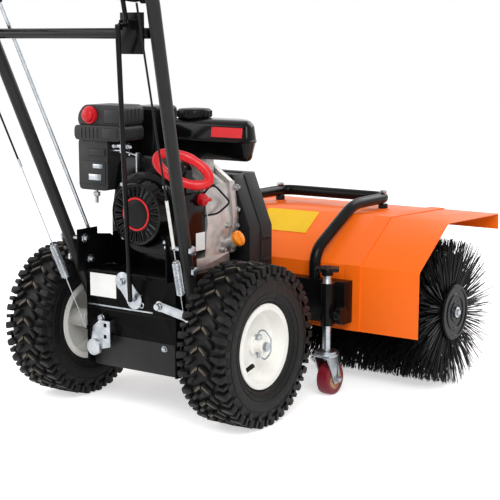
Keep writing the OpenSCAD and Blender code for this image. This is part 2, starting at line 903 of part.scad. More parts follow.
module starter_grip() {
    u = unit(loop_long_shares);
    v = unit(cross(view_shares, u));
    steps = 32;
    rope_out = shroud_r + gap + rope_r * rope_set_share;
    rope_end = [crank_x, loop_at.y + 2 * loop_r, crank_z] + rope_out * [cos(56), 0, sin(56)];
    color(red) place() {
        sweep([for (i = [0 : steps - 1]) loop_at + grip_loop.x * cos(360 * i / steps) * u
            + grip_loop.y * sin(360 * i / steps) * v], loop_r, 10, cross(u, v), true);
        rod(rope_end, loop_at - grip_loop.x * u, rope_r);
    }
}

module fuel_tank() {
    left = tank_left;
    right = tank_left + tank_w;
    seam = tank_z + tank_h / 2;
    front = tank_back + tank_d;
    corner = [right + 2 * seam_out, front + 2 * seam_out];
    color(black) place() {
        difference() {
            union() {
                along_y(tank_back, front) polygon([[left + tank_draft, tank_z], [right - tank_draft, tank_z],
                    [right, seam], [right - tank_draft, tank_z + tank_h],
                    [left + tank_draft, tank_z + tank_h], [left, seam]]);
                slab([left - seam_out, tank_back - seam_out, seam - seam_t / 2],
                    [right + seam_out, front + seam_out, seam + seam_t / 2]);
            }
            translate([0, 0, tank_z - cut]) linear_extrude(tank_h + 2 * cut)
                polygon([corner, corner - [tank_corner.x + seam_out, 0],
                    corner - [0, tank_corner.y + seam_out]]);
        }
        translate([cap_at.x, cap_at.y, seam]) cylinder(h = tank_h / 2 + cap_h / 2, r = cap_r * 0.7);
    }
}

module fuel_cap() {
    color(black) place() translate([cap_at.x, cap_at.y, tank_z + tank_h + gap]) difference() {
        cylinder(h = cap_h, r = cap_r);
        translate([0, 0, -cut]) cylinder(h = cap_h / 2 + cut, r = cap_r * 0.7 + run_gap);
    }
}

module air_box() {
    right = air_x + air_w;
    band_z = air_z + air_h - air_lid_h - air_band_h;
    lid_z = band_z + air_band_h - cut;
    face = air_back + air_band / 2;
    color(dark_grey) place() difference() {
        union() {
            slab([air_x + air_band / 2, air_back + air_band / 2, air_z],
                [air_x + air_low_w, air_back + air_d, band_z + cut]);
            slab([air_x + air_band / 2, air_back + air_band / 2, air_z - air_drop],
                [air_x + air_low_w, carb_back - gap, air_z + cut]);
            slab([air_x, air_back, band_z], [right, air_back + air_d, band_z + air_band_h]);
            along_y(face, air_back + air_d) polygon([[air_x + air_band / 2, lid_z], [right, lid_z],
                [right, air_z + air_h], [air_x + air_lid_h / 2, air_z + air_h],
                [air_x + air_band / 2, air_z + air_h - air_lid_h / 2]]);
        }
        translate([knob_at.x, 0, knob_at.y]) y_cyl(face - cut, face + pocket_d, knob_r + gap);
    }
}

module primer_bulb() {
    seat = air_back + air_band / 2 + pocket_d - gap - bulb_press;
    color(red) place() translate([knob_at.x, seat, knob_at.y]) {
        y_cyl(-knob_d * 0.45, 0, knob_r);
        y_cyl(-knob_d, 0, knob_r * 0.78);
    }
}

module carburettor() {
    color(aluminium) place() {
        slab([carb_x, carb_back, carb_top - carb_h], [carb_x + carb_w, carb_front, carb_top]);
        translate([carb_x + carb_w / 2, (carb_back + carb_front) / 2, carb_top - carb_h - carb_bowl_h])
            cylinder(h = carb_bowl_h + cut, r = carb_bowl_r);
    }
}

module muffler() {
    right = muffler_x + muffler_w;
    color(black) place() {
        slab([muffler_x, muffler_y, muffler_z], [right, muffler_y + muffler_d, muffler_z + muffler_h]);
        slab([muffler_x - 2 * guard_t, muffler_y - 2 * guard_t, muffler_z + muffler_h * 0.4],
            [right, muffler_y + muffler_d, muffler_z + muffler_h * 0.4 + 2 * guard_t]);
    }
}

module oil_cap() {
    d = unit([2, 0, 1]);
    color("#f0951e") place() {
        rod(oil_at + gap * d, oil_at + oil_d * d, oil_r);
        rod(oil_at + oil_d * d - [0, oil_r, 0], oil_at + oil_d * d + [0, oil_r, 0], oil_r / 3);
    }
}

module stop_switch() {
    color(red) place() translate([shroud_side + gap, switch_at.x, switch_at.y]) {
        x_cyl(0, switch_d, switch_r);
        slab([switch_d / 2, -switch_r * 1.3, -switch_r / 3], [switch_d * 1.2, switch_r * 1.3, switch_r / 3]);
    }
}

module crankshaft() {
    color(zinc) place() at_crank() {
        y_cyl(shroud_back + flywheel_d / 4, brush_belt_y + belt_w, crank_r);
        y_cyl(shroud_back + flywheel_d / 4, shroud_back + flywheel_d * 1.25, flywheel_r);
        pulley(drive_belt_y, crank_pulley_r);
        pulley(brush_belt_y, crank_pulley_r);
    }
}

// Belt cover
module cover_outline(wall) {
    half = cover_w / 2 - wall;
    top = cover_top_w / 2 - wall;
    polygon([[-half, cover_low + wall], [half, cover_low + wall], [half, cover_shoulder],
        [top, cover_top - wall], [-top, cover_top - wall], [-half, cover_shoulder]]);
}

module belt_cover_rear() {
    seam = chassis_front + cover_d / 2;
    color(dark_grey) place() difference() {
        along_y(chassis_front, seam) cover_outline(0);
        along_y(chassis_front + cover_t, seam + cut) cover_outline(cover_t);
        at_crank() y_cyl(chassis_front - cut, seam, crank_r + cover_t);
        translate([worm_x, 0, worm_z]) y_cyl(chassis_front - cut, seam, worm_core_r + cover_t);
    }
}

module belt_cover_front() {
    seam = chassis_front + cover_d / 2;
    color(dark_grey) place() difference() {
        along_y(seam, cover_front) cover_outline(0);
        along_y(seam - cut, cover_front - cover_t) cover_outline(cover_t);
        translate([head_x, 0, brush_z]) y_cyl(seam, cover_front + cut, shaft_r + cover_t);
    }
}

// Points of a belt line round two pulleys
function belt_line(a, ra, b, rb) = let (d = b - a, phi = atan2(d.y, d.x), w = acos((ra - rb) / norm(d)))
    concat([for (i = [0 : 16]) let (t = phi + w + (360 - 2 * w) * i / 16) a + ra * [cos(t), sin(t)]],
        [for (i = [0 : 16]) let (t = phi - w + 2 * w * i / 16) b + rb * [cos(t), sin(t)]]);

module belt(y, a, ra, b, rb) {
    half = belt_w - flange_t - gap;
    along_y(y - half, y + half) difference() {
        polygon(belt_line(a, ra, b, rb));
        polygon(belt_line(a, ra - belt_t, b, rb - belt_t));
    }
}

module drive_belts() {
    crank = [crank_x, crank_z];
    color(rubber) place() {
        belt(drive_belt_y, crank, crank_pulley_r, [worm_x, worm_z], worm_pulley_r);
        belt(brush_belt_y, crank, crank_pulley_r, [head_x, brush_z], input_pulley_r);
    }
}

// Brush drive line
module at_head() {
    translate([head_x, 0, brush_z]) children();
}

module input_shaft() {
    color(zinc) place() at_head() difference() {
        union() {
            y_cyl(brush_belt_y - belt_w, pivot_y - ball_r - cup_wall / 2, shaft_r);
            pulley(brush_belt_y, input_pulley_r);
            y_cyl(pivot_y - ball_r - cup_wall + gap, pivot_y + cup_lip, ball_r + cup_wall);
        }
        translate([0, pivot_y, 0]) turned_y() polygon([for (a = [0 : cup_step : 180])
            (ball_r + run_gap) / cos(cup_step / 2) * [sin(a), cos(a)]]);
    }
}

module head_shaft() {
    color(zinc) place() at_head() {
        translate([0, pivot_y, 0]) sphere(ball_r);
        y_cyl(pivot_y, brush_y - bevel_r, head_shaft_r);
        y_cyl(brush_y - bevel_r - gearbox_wall, brush_y - bevel_r + pinion_r, pinion_r);
    }
}

module hood() {
    t = hood_t;
    outer = [[hood_back, hood_low], [hood_fold_y, hood_fold_z], [hood_top_y, hood_top_z],
        [hood_front_y - t, hood_front_z], [hood_front_y, hood_front_z - hood_flap]];
    inner = [[hood_front_y - t, hood_front_z - hood_flap], [hood_front_y - 2 * t, hood_front_z - t],
        [hood_top_y + t / 3, hood_top_z - t], [hood_fold_y + t, hood_fold_z - t / 2],
        [hood_back + t, hood_low]];
    color(orange) place() difference() {
        along_x(head_x - hood_w / 2, head_x + hood_w / 2) polygon(concat(outer, inner));
        at_head() y_cyl(hood_back - cut, hood_fold_y + 2 * t, arm_tube_r + gap);
    }
}

module head_frame() {
    half = crossbeam_w / 2;
    low = tongue_z - gap - fork_t;
    high = tongue_z + tongue_h + gap;
    nose = pivot_y + tongue_w / 2 + gap;
    color(black) place() difference() {
        union() {
            slab([head_x - half, crossbeam_back, crossbeam_z],
                [head_x + half, crossbeam_front, crossbeam_z + crossbeam_h]);
            slab([head_x - tongue_w / 2, nose, low],
                [head_x + tongue_w / 2, crossbeam_front, crossbeam_z + cut]);
            for (z = [low, high]) {
                translate([head_x, pivot_y, z]) cylinder(h = fork_t, r = fork_r);
                slab([head_x - fork_r, pivot_y, z], [head_x + fork_r, crossbeam_front, z + fork_t]);
            }
            translate([head_x, pivot_y, low]) cylinder(h = high - low + fork_t, r = kingpin_r);
            at_head() y_cyl(crossbeam_front - cut, brush_y - boss_len, arm_tube_r);
        }
        at_head() y_cyl(crossbeam_back - cut, brush_y, head_shaft_r + 2 * gearbox_wall);
    }
}

module brush_gearbox() {
    color(black) place() at_head() translate([0, brush_y, 0]) difference() {
        union() {
            x_cyl(-head_gearbox_w / 2, head_gearbox_w / 2, gearbox_r);
            y_cyl(-boss_len, 0, arm_tube_r);
        }
        x_cyl(gearbox_wall - head_gearbox_w / 2, head_gearbox_w / 2 - gearbox_wall, gearbox_r - gearbox_wall);
        x_cyl(-head_gearbox_w, head_gearbox_w, brush_shaft_r + run_gap);
        y_cyl(-boss_len - cut, 0, head_shaft_r + run_gap);
    }
}

module bumper() {
    z = bumper_top_z;
    right = head_x + bumper_half;
    left = head_x - bumper_half;
    foot_z = crossbeam_z + crossbeam_h;
    path = bent([[right, bumper_back, foot_z], [right, bumper_back, bumper_knee_z],
        [right, bumper_slope_y, z],
        [right, bumper_front_y, z], [left, bumper_front_y, z], [left, bumper_slope_y, z],
        [left, bumper_back, bumper_knee_z], [left, bumper_back, foot_z]], bumper_bend, 5);
    color(black) place() difference() {
        sweep(path, bumper_r, 14, [0.5, 0.3, 0.8]);
        for (x = [left, right]) translate([x, bolt_y, z - 2 * bumper_r])
            cylinder(h = 4 * bumper_r, r = bolt_r + run_gap);
    }
}

function hood_z(y) = hood_top_z
    + (hood_front_z - hood_top_z) * (y - hood_top_y) / (hood_front_y - hood_top_y);

module bumper_bolts() {
    color(zinc) place() for (s = [-1, 1]) translate([head_x + s * bumper_half, bolt_y, 0]) {
        low = hood_z(bolt_y - spacer_r) + gap;
        high = bumper_top_z + bumper_r;
        translate([0, 0, low]) cylinder(h = bumper_top_z - bumper_r - gap - low, r = spacer_r);
        translate([0, 0, low]) cylinder(h = high + bolt_head_h - low, r = bolt_r);
        translate([0, 0, high + gap]) hex_head(2 * bolt_r, bolt_head_h);
    }
}

// Casters
module at_caster(side) {
    translate([head_x + side * caster_out, stem_y, 0]) children();
}

module caster_holders() {
    top = crossbeam_z + crossbeam_h;
    color(black) place() for (s = [-1, 1]) at_caster(s) difference() {
        union() {
            translate([0, 0, crossbeam_z]) cylinder(h = crossbeam_h, r = holder_r);
            slab([-holder_web / 2, 0, crossbeam_z], [holder_web / 2, crossbeam_back - stem_y, top]);
        }
        translate([0, 0, crossbeam_z - cut]) cylinder(h = crossbeam_h + 2 * cut, r = stem_r + run_gap);
        translate([0, 0, clamp_z])
            x_cyl(min(0, 2 * s * holder_r), max(0, 2 * s * holder_r), clamp_stem_r + run_gap);
    }
}

module caster_stem(side) {
    color(zinc) place() at_caster(side) {
        translate([0, 0, fork_top]) cylinder(h = star_z - fork_top, r = stem_r);
        translate([0, 0, fork_pin_z]) cylinder(h = fork_top - fork_pin_z + cut, r = fork_pin_r);
        translate([0, 0, star_z - star_t]) cylinder(h = star_t, r = star_neck_r);
        translate([0, 0, star_z]) linear_extrude(star_t) star_outline(star_r, 6);
    }
}

module clamp_knob(side) {
    color(black) place() at_caster(side) translate([0, 0, clamp_z]) rotate([0, 0, side > 0 ? 0 : 180]) {
        x_cyl(stem_r + 2 * gap, holder_r + 2 * clamp_t, clamp_stem_r);
        translate([holder_r + clamp_t, 0, 0]) rotate([0, 90, 0])
            linear_extrude(clamp_t) star_outline(clamp_r, 6);
    }
}

module caster_fork(side) {
    half = caster_w / 2 + gap;
    low = fork_top - gap - race_h;
    color(zinc) place() at_caster(side) difference() {
        union() {
            translate([0, 0, low]) cylinder(h = race_h, r = race_r);
            for (s = [-1, 1]) translate([s * (half + fork_sheet / 2), 0, 0])
                along_x(-fork_sheet / 2, fork_sheet / 2) polygon([
                    [-race_r, fork_top - race_h], [race_r, fork_top - race_h],
                    [caster_trail + 2 * caster_axle_r, caster_r - 2 * caster_axle_r],
                    [caster_trail - 2 * caster_axle_r, caster_r - 2 * caster_axle_r]]);
            slab([-half - fork_sheet, -race_r, low], [half + fork_sheet, race_r, low + fork_sheet]);
            translate([0, caster_trail, caster_r])
                x_cyl(-half - 4 * fork_sheet, half + 4 * fork_sheet, caster_axle_r);
        }
        translate([0, 0, fork_pin_z - cut]) cylinder(h = 2 * race_h + 2 * cut, r = fork_pin_r + run_gap);
    }
}

module caster_wheel(side) {
    color("#8e1b2c") place() at_caster(side) translate([0, caster_trail, caster_r]) difference() {
        x_cyl(-caster_w / 2, caster_w / 2, caster_r);
        x_cyl(-caster_w, caster_w, caster_axle_r + run_gap);
        for (s = [-1, 1]) translate([s * caster_w / 2, 0, 0]) difference() {
            x_cyl(-fork_sheet, fork_sheet, caster_core_r);
            x_cyl(-2 * fork_sheet, 2 * fork_sheet, 2 * caster_axle_r);
        }
    }
}

module caster_stem_left() {
    caster_stem(-1);
}

module caster_stem_right() {
    caster_stem(1);
}

module clamp_knob_left() {
    clamp_knob(-1);
}

module clamp_knob_right() {
    clamp_knob(1);
}

module caster_fork_left() {
    caster_fork(-1);
}

module caster_fork_right() {
    caster_fork(1);
}

module caster_wheel_left() {
    caster_wheel(-1);
}

module caster_wheel_right() {
    caster_wheel(1);
}

// Brush
brush_in = head_gearbox_w / 2 + gearbox_wall;
brush_out = hood_w / 2 + brush_past;

module at_brush() {
    translate([head_x, brush_y, brush_z]) children();
}

module brush_shaft() {
    color(zinc) place() at_brush() {
        x_cyl(-brush_out - bolt_head_h, brush_out + bolt_head_h, brush_shaft_r);
        x_cyl(pinion_r + gearbox_wall / 2, pinion_r + gearbox_wall / 2 + bevel_t, bevel_r);
    }
}

module end_discs() {
    color(black) place() at_brush() for (s = [-1, 1], x = [brush_in, brush_out - disc_t]) difference() {
        translate([s * (x + disc_t / 2), 0, 0]) x_cyl(-disc_t / 2, disc_t / 2, disc_r);
        x_cyl(-brush_out - cut, brush_out + cut, brush_shaft_r + run_gap);
    }
}

// One half of the brush: strands that grow out of a tube, as one closed skin
module brush_half() {
    x0 = brush_in + disc_t;
    step = (brush_out - disc_t - x0) / rows;
    turn = 360 / strands;
    half_turn = 180 * strand_w / (PI * backing_r) / 2;
    function on(r, a, x) = [x, r * cos(a), r * sin(a)];
    function sides(r, a, x, w, dw) = [on(r, a - dw, x - w), on(r, a - dw, x + w), on(r, a + dw, x)];
    skin = [for (i = [0 : rows], j = [0 : strands - 1]) on(backing_r, turn * j, x0 + step * i)];
    bore = [for (i = [0, rows], j = [0 : strands - 1]) on(core_r, turn * j, x0 + step * i)];
    hairs = [for (i = [0 : rows - 1], j = [0 : strands - 1])
        let (x = x0 + step * (i + 0.5), a = turn * (j + 0.5), lean = lean_angle * (i % 2 == 0 ? 1 : -1))
        each concat(sides(backing_r, a, x, strand_w / 2, half_turn),
            sides(brush_r, a + lean, x, tip_share * strand_w / 2,
                tip_share * half_turn * backing_r / brush_r))];
    nb = len(skin);
    nh = nb + len(bore);
    cells = [for (i = [0 : rows - 1], j = [0 : strands - 1])
        let (k = (j + 1) % strands, a = i * strands + j, b = a + strands, c = (i + 1) * strands + k)
        let (d = i * strands + k, p = nh + 6 * (i * strands + j), q = p + 3)
        each [[a, b, p + 1], [a, p + 1, p], [b, c, p + 2], [b, p + 2, p + 1], [c, d, p + 2], [d, a, p],
            [d, p, p + 2], [p, p + 1, q + 1], [p, q + 1, q], [p + 1, p + 2, q + 2], [p + 1, q + 2, q + 1],
            [p + 2, p, q], [p + 2, q, q + 2], [q, q + 1, q + 2]]];
    ends = [for (j = [0 : strands - 1])
        let (k = (j + 1) % strands, m = rows * strands, e = nb + strands)
        each [[nb + j, nb + k, e + k], [nb + j, e + k, e + j], [j, k, nb + k], [j, nb + k, nb + j],
            [m + k, m + j, e + j], [m + k, e + j, e + k]]];
    polyhedron(points = concat(skin, bore, hairs), faces = concat(cells, ends));
}

module bristles() {
    color("#141414") place() at_brush() for (s = [0, 180]) rotate([0, 0, s]) brush_half();
}

chassis_frame();
bottom_cover();
gearbox();
worm_shaft();
drive_axle();
tyres();
rims();
wheel_linchpins();
shift_arm();
shift_rod();
shift_lever();
drive_arm();
brush_arm();
guide_bracket();
handle_left();
handle_right();
handle_bolts();
grips();
console();
drive_lever();
brush_lever();
swivel_rod();
control_cables();
drive_spring();
brush_spring();
crankcase();
fan_shroud();
recoil_cover();
starter_grip();
fuel_tank();
fuel_cap();
air_box();
primer_bulb();
carburettor();
muffler();
oil_cap();
stop_switch();
crankshaft();
belt_cover_rear();
belt_cover_front();
drive_belts();
input_shaft();
head_shaft();
hood();
head_frame();
bumper();
bumper_bolts();
caster_holders();
caster_stem_left();
caster_stem_right();
clamp_knob_left();
clamp_knob_right();
caster_fork_left();
caster_fork_right();
caster_wheel_left();
caster_wheel_right();
brush_gearbox();
brush_shaft();
bristles();
end_discs();
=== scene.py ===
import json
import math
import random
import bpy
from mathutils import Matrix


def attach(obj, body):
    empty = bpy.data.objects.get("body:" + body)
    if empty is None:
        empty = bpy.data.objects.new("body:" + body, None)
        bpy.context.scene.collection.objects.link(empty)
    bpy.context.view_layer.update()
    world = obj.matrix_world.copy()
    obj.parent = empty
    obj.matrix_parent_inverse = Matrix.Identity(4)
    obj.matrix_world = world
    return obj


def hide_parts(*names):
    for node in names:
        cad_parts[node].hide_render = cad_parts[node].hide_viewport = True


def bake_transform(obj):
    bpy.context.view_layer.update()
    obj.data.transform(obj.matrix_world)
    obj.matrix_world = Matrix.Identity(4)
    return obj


bl_info = {
    "name": "Power brush sweeper looks",
    "version": (2, 0, 0),
    "blender": (4, 5, 0),
    "location": "View3D > Sidebar > Sweeper",
    "description": "Dresses the packed sweeper with detailed pieces and procedural materials",
    "category": "Object",
}

import bmesh
import bpy
from mathutils import Euler, Matrix, Vector

# The packed model is the fixed frame that every piece is built around
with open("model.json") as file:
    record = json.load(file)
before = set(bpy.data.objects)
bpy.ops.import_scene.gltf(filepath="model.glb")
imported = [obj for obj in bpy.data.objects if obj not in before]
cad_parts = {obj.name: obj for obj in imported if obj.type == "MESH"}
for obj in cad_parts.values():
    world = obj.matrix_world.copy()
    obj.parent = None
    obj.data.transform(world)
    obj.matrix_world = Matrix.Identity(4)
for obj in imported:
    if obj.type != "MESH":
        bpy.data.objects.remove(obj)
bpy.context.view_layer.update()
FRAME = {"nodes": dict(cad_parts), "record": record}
NODE_BODY = {node: body for body, nodes in FRAME["record"]["behaviour"]["bodies"].items() for node in nodes}
NODE_SLOT = {row["node"]: row["material_slot"] for row in FRAME["record"]["subparts"]}

# Middle of the whole machine in the layout that positions below are given in, and the axle's height, in mm
HEAD_X, MID_Y, AXLE_Z = 50.0, 110.653, 170.0
X, Y, Z = (Vector(axis) for axis in ((1, 0, 0), (0, 1, 0), (0, 0, 1)))
SIDES = ((-1, "left"), (1, "right"))


def at(x, y, z):
    """A place in mm, measured from the middle of the axle on the ground, as metres in the frame."""
    return Vector(((x - HEAD_X) / 1000, (y - MID_Y) / 1000, z / 1000))


def mm(value):
    return value / 1000


def angles(count, start=0.0):
    """Even angles round a circle."""
    return [start + 2 * math.pi * k / count for k in range(count)]


def circle(centre, radius, first, second, count, start=0.0):
    """Points round a centre, in the plane of two directions; the radius is in mm."""
    return [centre + mm(radius) * (math.cos(a) * first + math.sin(a) * second) for a in angles(count, start)]


# Materials


def srgb(code):
    """Linear colour of a hex code such as 1b1b1d."""
    parts = [int(code[i : i + 2], 16) / 255 for i in (0, 2, 4)]
    return tuple(c / 12.92 if c <= 0.04045 else ((c + 0.055) / 1.055) ** 2.4 for c in parts) + (1.0,)


def add_node(tree, kind, settings, sockets):
    """Adds a node with its settings. Each socket gets a value or a link; the node's outputs come back."""
    made = tree.nodes.new(kind)
    for key, value in settings.items():
        setattr(made, key, value)
    for key, value in sockets.items():
        if isinstance(value, bpy.types.NodeSocket):
            tree.links.new(value, made.inputs[key])
        else:
            made.inputs[key].default_value = value
    return made.outputs


# Each row: name, two close colours, roughness, metallic, specular level, grain in mm, bump strength,
# bump depth in mm, patch size in mm. Grains under about 1 mm are drawn at 1 mm so that they show.
FINISHES = {
    # Baked powder coat on folded steel: deep black, soft gloss, a faint orange peel
    "black_paint": ("Black powder coat", "0a0a0b", "101011", 0.22, 0.0, 0.11, 1.8, 0.08, 0.1, 60.0),
    # Stoved enamel on the chassis sheet: a deeper black that shows the light only at its folds
    "chassis_enamel": ("Black chassis enamel", "070708", "0b0b0c", 0.24, 0.0, 0.04, 1.8, 0.06, 0.1, 60.0),
    # Satin powder coat on drawn tube and the lower cover: a duller coat that looks greyer in the light
    "satin_paint": ("Satin powder coat", "1a1a1b", "212122", 0.36, 0.0, 0.2, 1.4, 0.1, 0.1, 40.0),
    # Sprayed enamel on pressed steel and moulded tank: wet-looking black with clear reflections
    "gloss_black": ("Gloss black enamel", "060606", "0a0a0b", 0.12, 0.0, 0.16, 6.0, 0.04, 0.1, 70.0),
    # Baked powder coat on the hood: clean orange, even, with soft highlights
    "orange_paint": ("Orange powder coat", "fe6e12", "f7690f", 0.36, 0.0, 0.25, 1.8, 0.08, 0.1, 140.0),
    # Air-dried enamel on pressed wheels: warm white with a satin shine
    "cream_paint": ("White wheel enamel", "f4f3ee", "eae8e0", 0.34, 0.0, 0.4, 2.0, 0.05, 0.1, 50.0),
    # Zinc plate on steel: bright and blue-grey, with a fine spangle
    "zinc": ("Bright zinc plate", "bcc0c4", "999fa5", 0.3, 1.0, 0.5, 4.0, 0.02, 0.1, 18.0),
    # Sand-cast aluminium: dull warm silver with a coarse skin
    "cast_aluminium": ("Cast aluminium", "c4bfbc", "a39e9b", 0.42, 0.85, 0.5, 1.1, 0.3, 0.25, 24.0),
    # Vulcanised tyre rubber: matt black, brown-grey where the lug tips have met the ground
    "tyre_rubber": ("Snow tyre rubber", "0d0d0d", "151413", 0.5, 0.0, 0.18, 1.6, 0.2, 0.25, 30.0),
    # Moulded grip rubber: matt and finely grained
    "soft_rubber": ("Grip rubber", "111112", "181819", 0.66, 0.0, 0.22, 1.0, 0.2, 0.2, 20.0),
    # Moulded caster tread: dull wine red with a light sheen
    "maroon_rubber": ("Maroon caster rubber", "7c1626", "6a1220", 0.42, 0.0, 0.35, 1.2, 0.1, 0.1, 16.0),
    # Grained polypropylene: charcoal, with a leather-like mould texture
    "grey_plastic": ("Grained charcoal plastic", "232224", "2b2a2c", 0.46, 0.0, 0.3, 1.0, 0.35, 0.15, 50.0),
    # Moulded polypropylene shells: black, faintly grained
    "cover_plastic": ("Grained black plastic", "141415", "1a1a1b", 0.42, 0.0, 0.24, 1.0, 0.3, 0.15, 60.0),
    # Moulded nylon: black with a soft shine
    "black_plastic": ("Black moulded plastic", "0b0b0c", "111112", 0.32, 0.0, 0.14, 1.0, 0.1, 0.1, 30.0),
    # Moulded ABS in signal red: even colour, satin
    "red_plastic": ("Red moulded plastic", "d4141f", "c2101b", 0.34, 0.0, 0.35, 1.0, 0.1, 0.1, 22.0),
    # Moulded ABS in orange: even colour, satin
    "orange_plastic": ("Orange cap plastic", "f08a12", "e47c0c", 0.36, 0.0, 0.35, 1.0, 0.1, 0.1, 14.0),
    # Extruded polypropylene filament: black, with glints along the strands
    "bristle_plastic": ("Bristle filament", "09090a", "121213", 0.44, 0.0, 0.2, 3.0, 0.05, 0.05, 20.0),
    # Moulded nylon core: tan, matt
    "tan_core": ("Tan wheel core", "c9a27e", "b98f6b", 0.5, 0.0, 0.35, 1.2, 0.1, 0.1, 12.0),
    # Plain vinyl film: flat yellow with a low shine
    "yellow_film": ("Plain yellow film", "f3c21d", "ecb915", 0.4, 0.0, 0.3, 2.0, 0.05, 0.05, 60.0),
    # Plain vinyl film: white
    "white_film": ("Plain white plate", "f4f4f2", "ebebe8", 0.4, 0.0, 0.3, 2.0, 0.05, 0.05, 30.0),
    # Heat-shrink sleeve: off-white, matt
    "white_sleeve": ("White cable sleeve", "e2e2de", "cfcfcb", 0.5, 0.0, 0.3, 1.0, 0.1, 0.1, 10.0),
}
# The setting that gives a finish its colour, and the second colour as a share of it
TINTS = {"orange_paint": "hood_colour", "cream_paint": "wheel_colour", "red_plastic": "accent_colour",
         "maroon_rubber": "caster_colour"}
SECOND_TINT = 0.93
# Noise stays mostly between these values; roughness follows it between these shares of its own value,
# in clouds that are finer than the patches of colour by this factor
NOISE_SPAN = {"From Min": 0.3, "From Max": 0.7}
ROUGH_LOW, ROUGH_HIGH = 0.82, 1.2
CLOUD_FINER = 2.5
# Reach of the lugs from the axle where wear begins and where it is full, in metres
WORN_FROM, WORN_FULL, WORN_COLOUR = 0.1688, 0.1699, "5c5348"


def surface(slot):
    """A procedural finish: two close colours in patches, roughness that varies and a fine grain."""
    name, first, second, rough, metal, level, grain, bump, depth, patch = FINISHES[slot]
    first, second = srgb(first), srgb(second)
    if slot in TINTS:
        tint = tuple(getattr(bpy.context.scene.sweeper, TINTS[slot]))
        first, second = tint + (1.0,), tuple(c * SECOND_TINT for c in tint) + (1.0,)
    mat = bpy.data.materials.new(name)
    mat.use_nodes = True
    tree = mat.node_tree
    shader = tree.nodes["Principled BSDF"]
    shader.inputs["Metallic"].default_value = metal
    shader.inputs["Specular IOR Level"].default_value = level
    spot = add_node(tree, "ShaderNodeTexCoord", {}, {})["Object"]
    patches = {"Vector": spot, "Scale": 1000 / patch, "Detail": 4.0}
    broad = add_node(tree, "ShaderNodeTexNoise", {}, patches)["Fac"]
    share = add_node(tree, "ShaderNodeMapRange", {}, {"Value": broad, **NOISE_SPAN})["Result"]
    mixed = {"data_type": "RGBA"}
    colour = add_node(tree, "ShaderNodeMix", mixed, {0: share, 6: first, 7: second})[2]
    if slot == "tyre_rubber":
        place = {"Vector": spot, "Location": (0.0, mm(MID_Y), -mm(AXLE_Z)), "Scale": (0.0, 1.0, 1.0)}
        local = add_node(tree, "ShaderNodeMapping", {}, place)["Vector"]
        reach = add_node(tree, "ShaderNodeVectorMath", {"operation": "LENGTH"}, {0: local})["Value"]
        limits = {"Value": reach, "From Min": WORN_FROM, "From Max": WORN_FULL}
        worn = add_node(tree, "ShaderNodeMapRange", {}, limits)["Result"]
        colour = add_node(tree, "ShaderNodeMix", mixed, {0: worn, 6: colour, 7: srgb(WORN_COLOUR)})[2]
    tree.links.new(colour, shader.inputs["Base Color"])
    clouds = {"Vector": spot, "Scale": CLOUD_FINER * 1000 / patch, "Detail": 5.0}
    cloud = add_node(tree, "ShaderNodeTexNoise", {}, clouds)["Fac"]
    limits = {"Value": cloud, **NOISE_SPAN, "To Min": rough * ROUGH_LOW,
              "To Max": min(1.0, rough * ROUGH_HIGH)}
    tree.links.new(add_node(tree, "ShaderNodeMapRange", {}, limits)["Result"], shader.inputs["Roughness"])
    kind = "ShaderNodeTexVoronoi" if slot == "zinc" else "ShaderNodeTexNoise"
    fine = add_node(tree, kind, {}, {"Vector": spot, "Scale": 1000 / grain})[0]
    relief = {"Height": fine, "Strength": bump, "Distance": mm(depth)}
    tree.links.new(add_node(tree, "ShaderNodeBump", {}, relief)["Normal"], shader.inputs["Normal"])
    return mat


# Materials made so far, by finish
MADE = {}


def finish_of(slot):
    if slot not in MADE:
        MADE[slot] = surface(slot)
    return MADE[slot]


# Meshes


def into_scene(name, data):
    obj = bpy.data.objects.new(name, data)
    bpy.context.scene.collection.objects.link(obj)
    return obj


def piece(name, mesh, slot, body, replaces=(), angle=35.0):
    """Puts a mesh into the scene as a piece; it rides on a body, or on none if it bends between two."""
    mesh.name = name
    for poly in mesh.polygons:
        poly.use_smooth = True
    mesh.set_sharp_from_angle(angle=math.radians(angle))
    mesh.materials.clear()
    mesh.materials.append(finish_of(slot))
    obj = into_scene(name, mesh)
    if body:
        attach(obj, body)
    if replaces:
        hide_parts(*replaces)
    return obj


def from_bm(bm, turn_out=True):
    """A mesh from an edit mesh, which is freed; its faces are turned outwards unless they already are."""
    if turn_out:
        bmesh.ops.recalc_face_normals(bm, faces=bm.faces)
    mesh = bpy.data.meshes.new("piece")
    bm.to_mesh(mesh)
    bm.free()
    return mesh


def join(meshes):
    bm = bmesh.new()
    for mesh in meshes:
        bm.from_mesh(mesh)
        bpy.data.meshes.remove(mesh)
    return from_bm(bm, False)


def moved(mesh, matrix):
    mesh.transform(matrix)
    if matrix.determinant() < 0:
        mesh.flip_normals()
    return mesh


def round_edges(bm, edges, width, segments, clamp=True):
    """Rounds edges by a width in mm."""
    bmesh.ops.bevel(bm, geom=edges, offset=mm(width), segments=segments, profile=0.5, affect="EDGES",
                    clamp_overlap=clamp)


def skin(bm, low, high):
    """Faces between two closed rings of the same number of points."""
    for i in range(len(low)):
        j = (i + 1) % len(low)
        bm.faces.new([low[i], low[j], high[j], high[i]])


def curve_points(a, p, c, steps):
    """Points of a curve from a to c that leans towards p."""
    shares = [s / steps for s in range(steps + 1)]
    return [(1 - t) ** 2 * a + 2 * t * (1 - t) * p + t * t * c for t in shares]


def bend(points, radius, steps):
    """Rounds the inner corners of a path."""
    out = [points[0]]
    for before, p, after in zip(points, points[1:], points[2:]):
        ends = [p + (other - p).normalized() * radius for other in (before, after)]
        out += curve_points(ends[0], p, ends[1], steps)
    return out + [points[-1]]


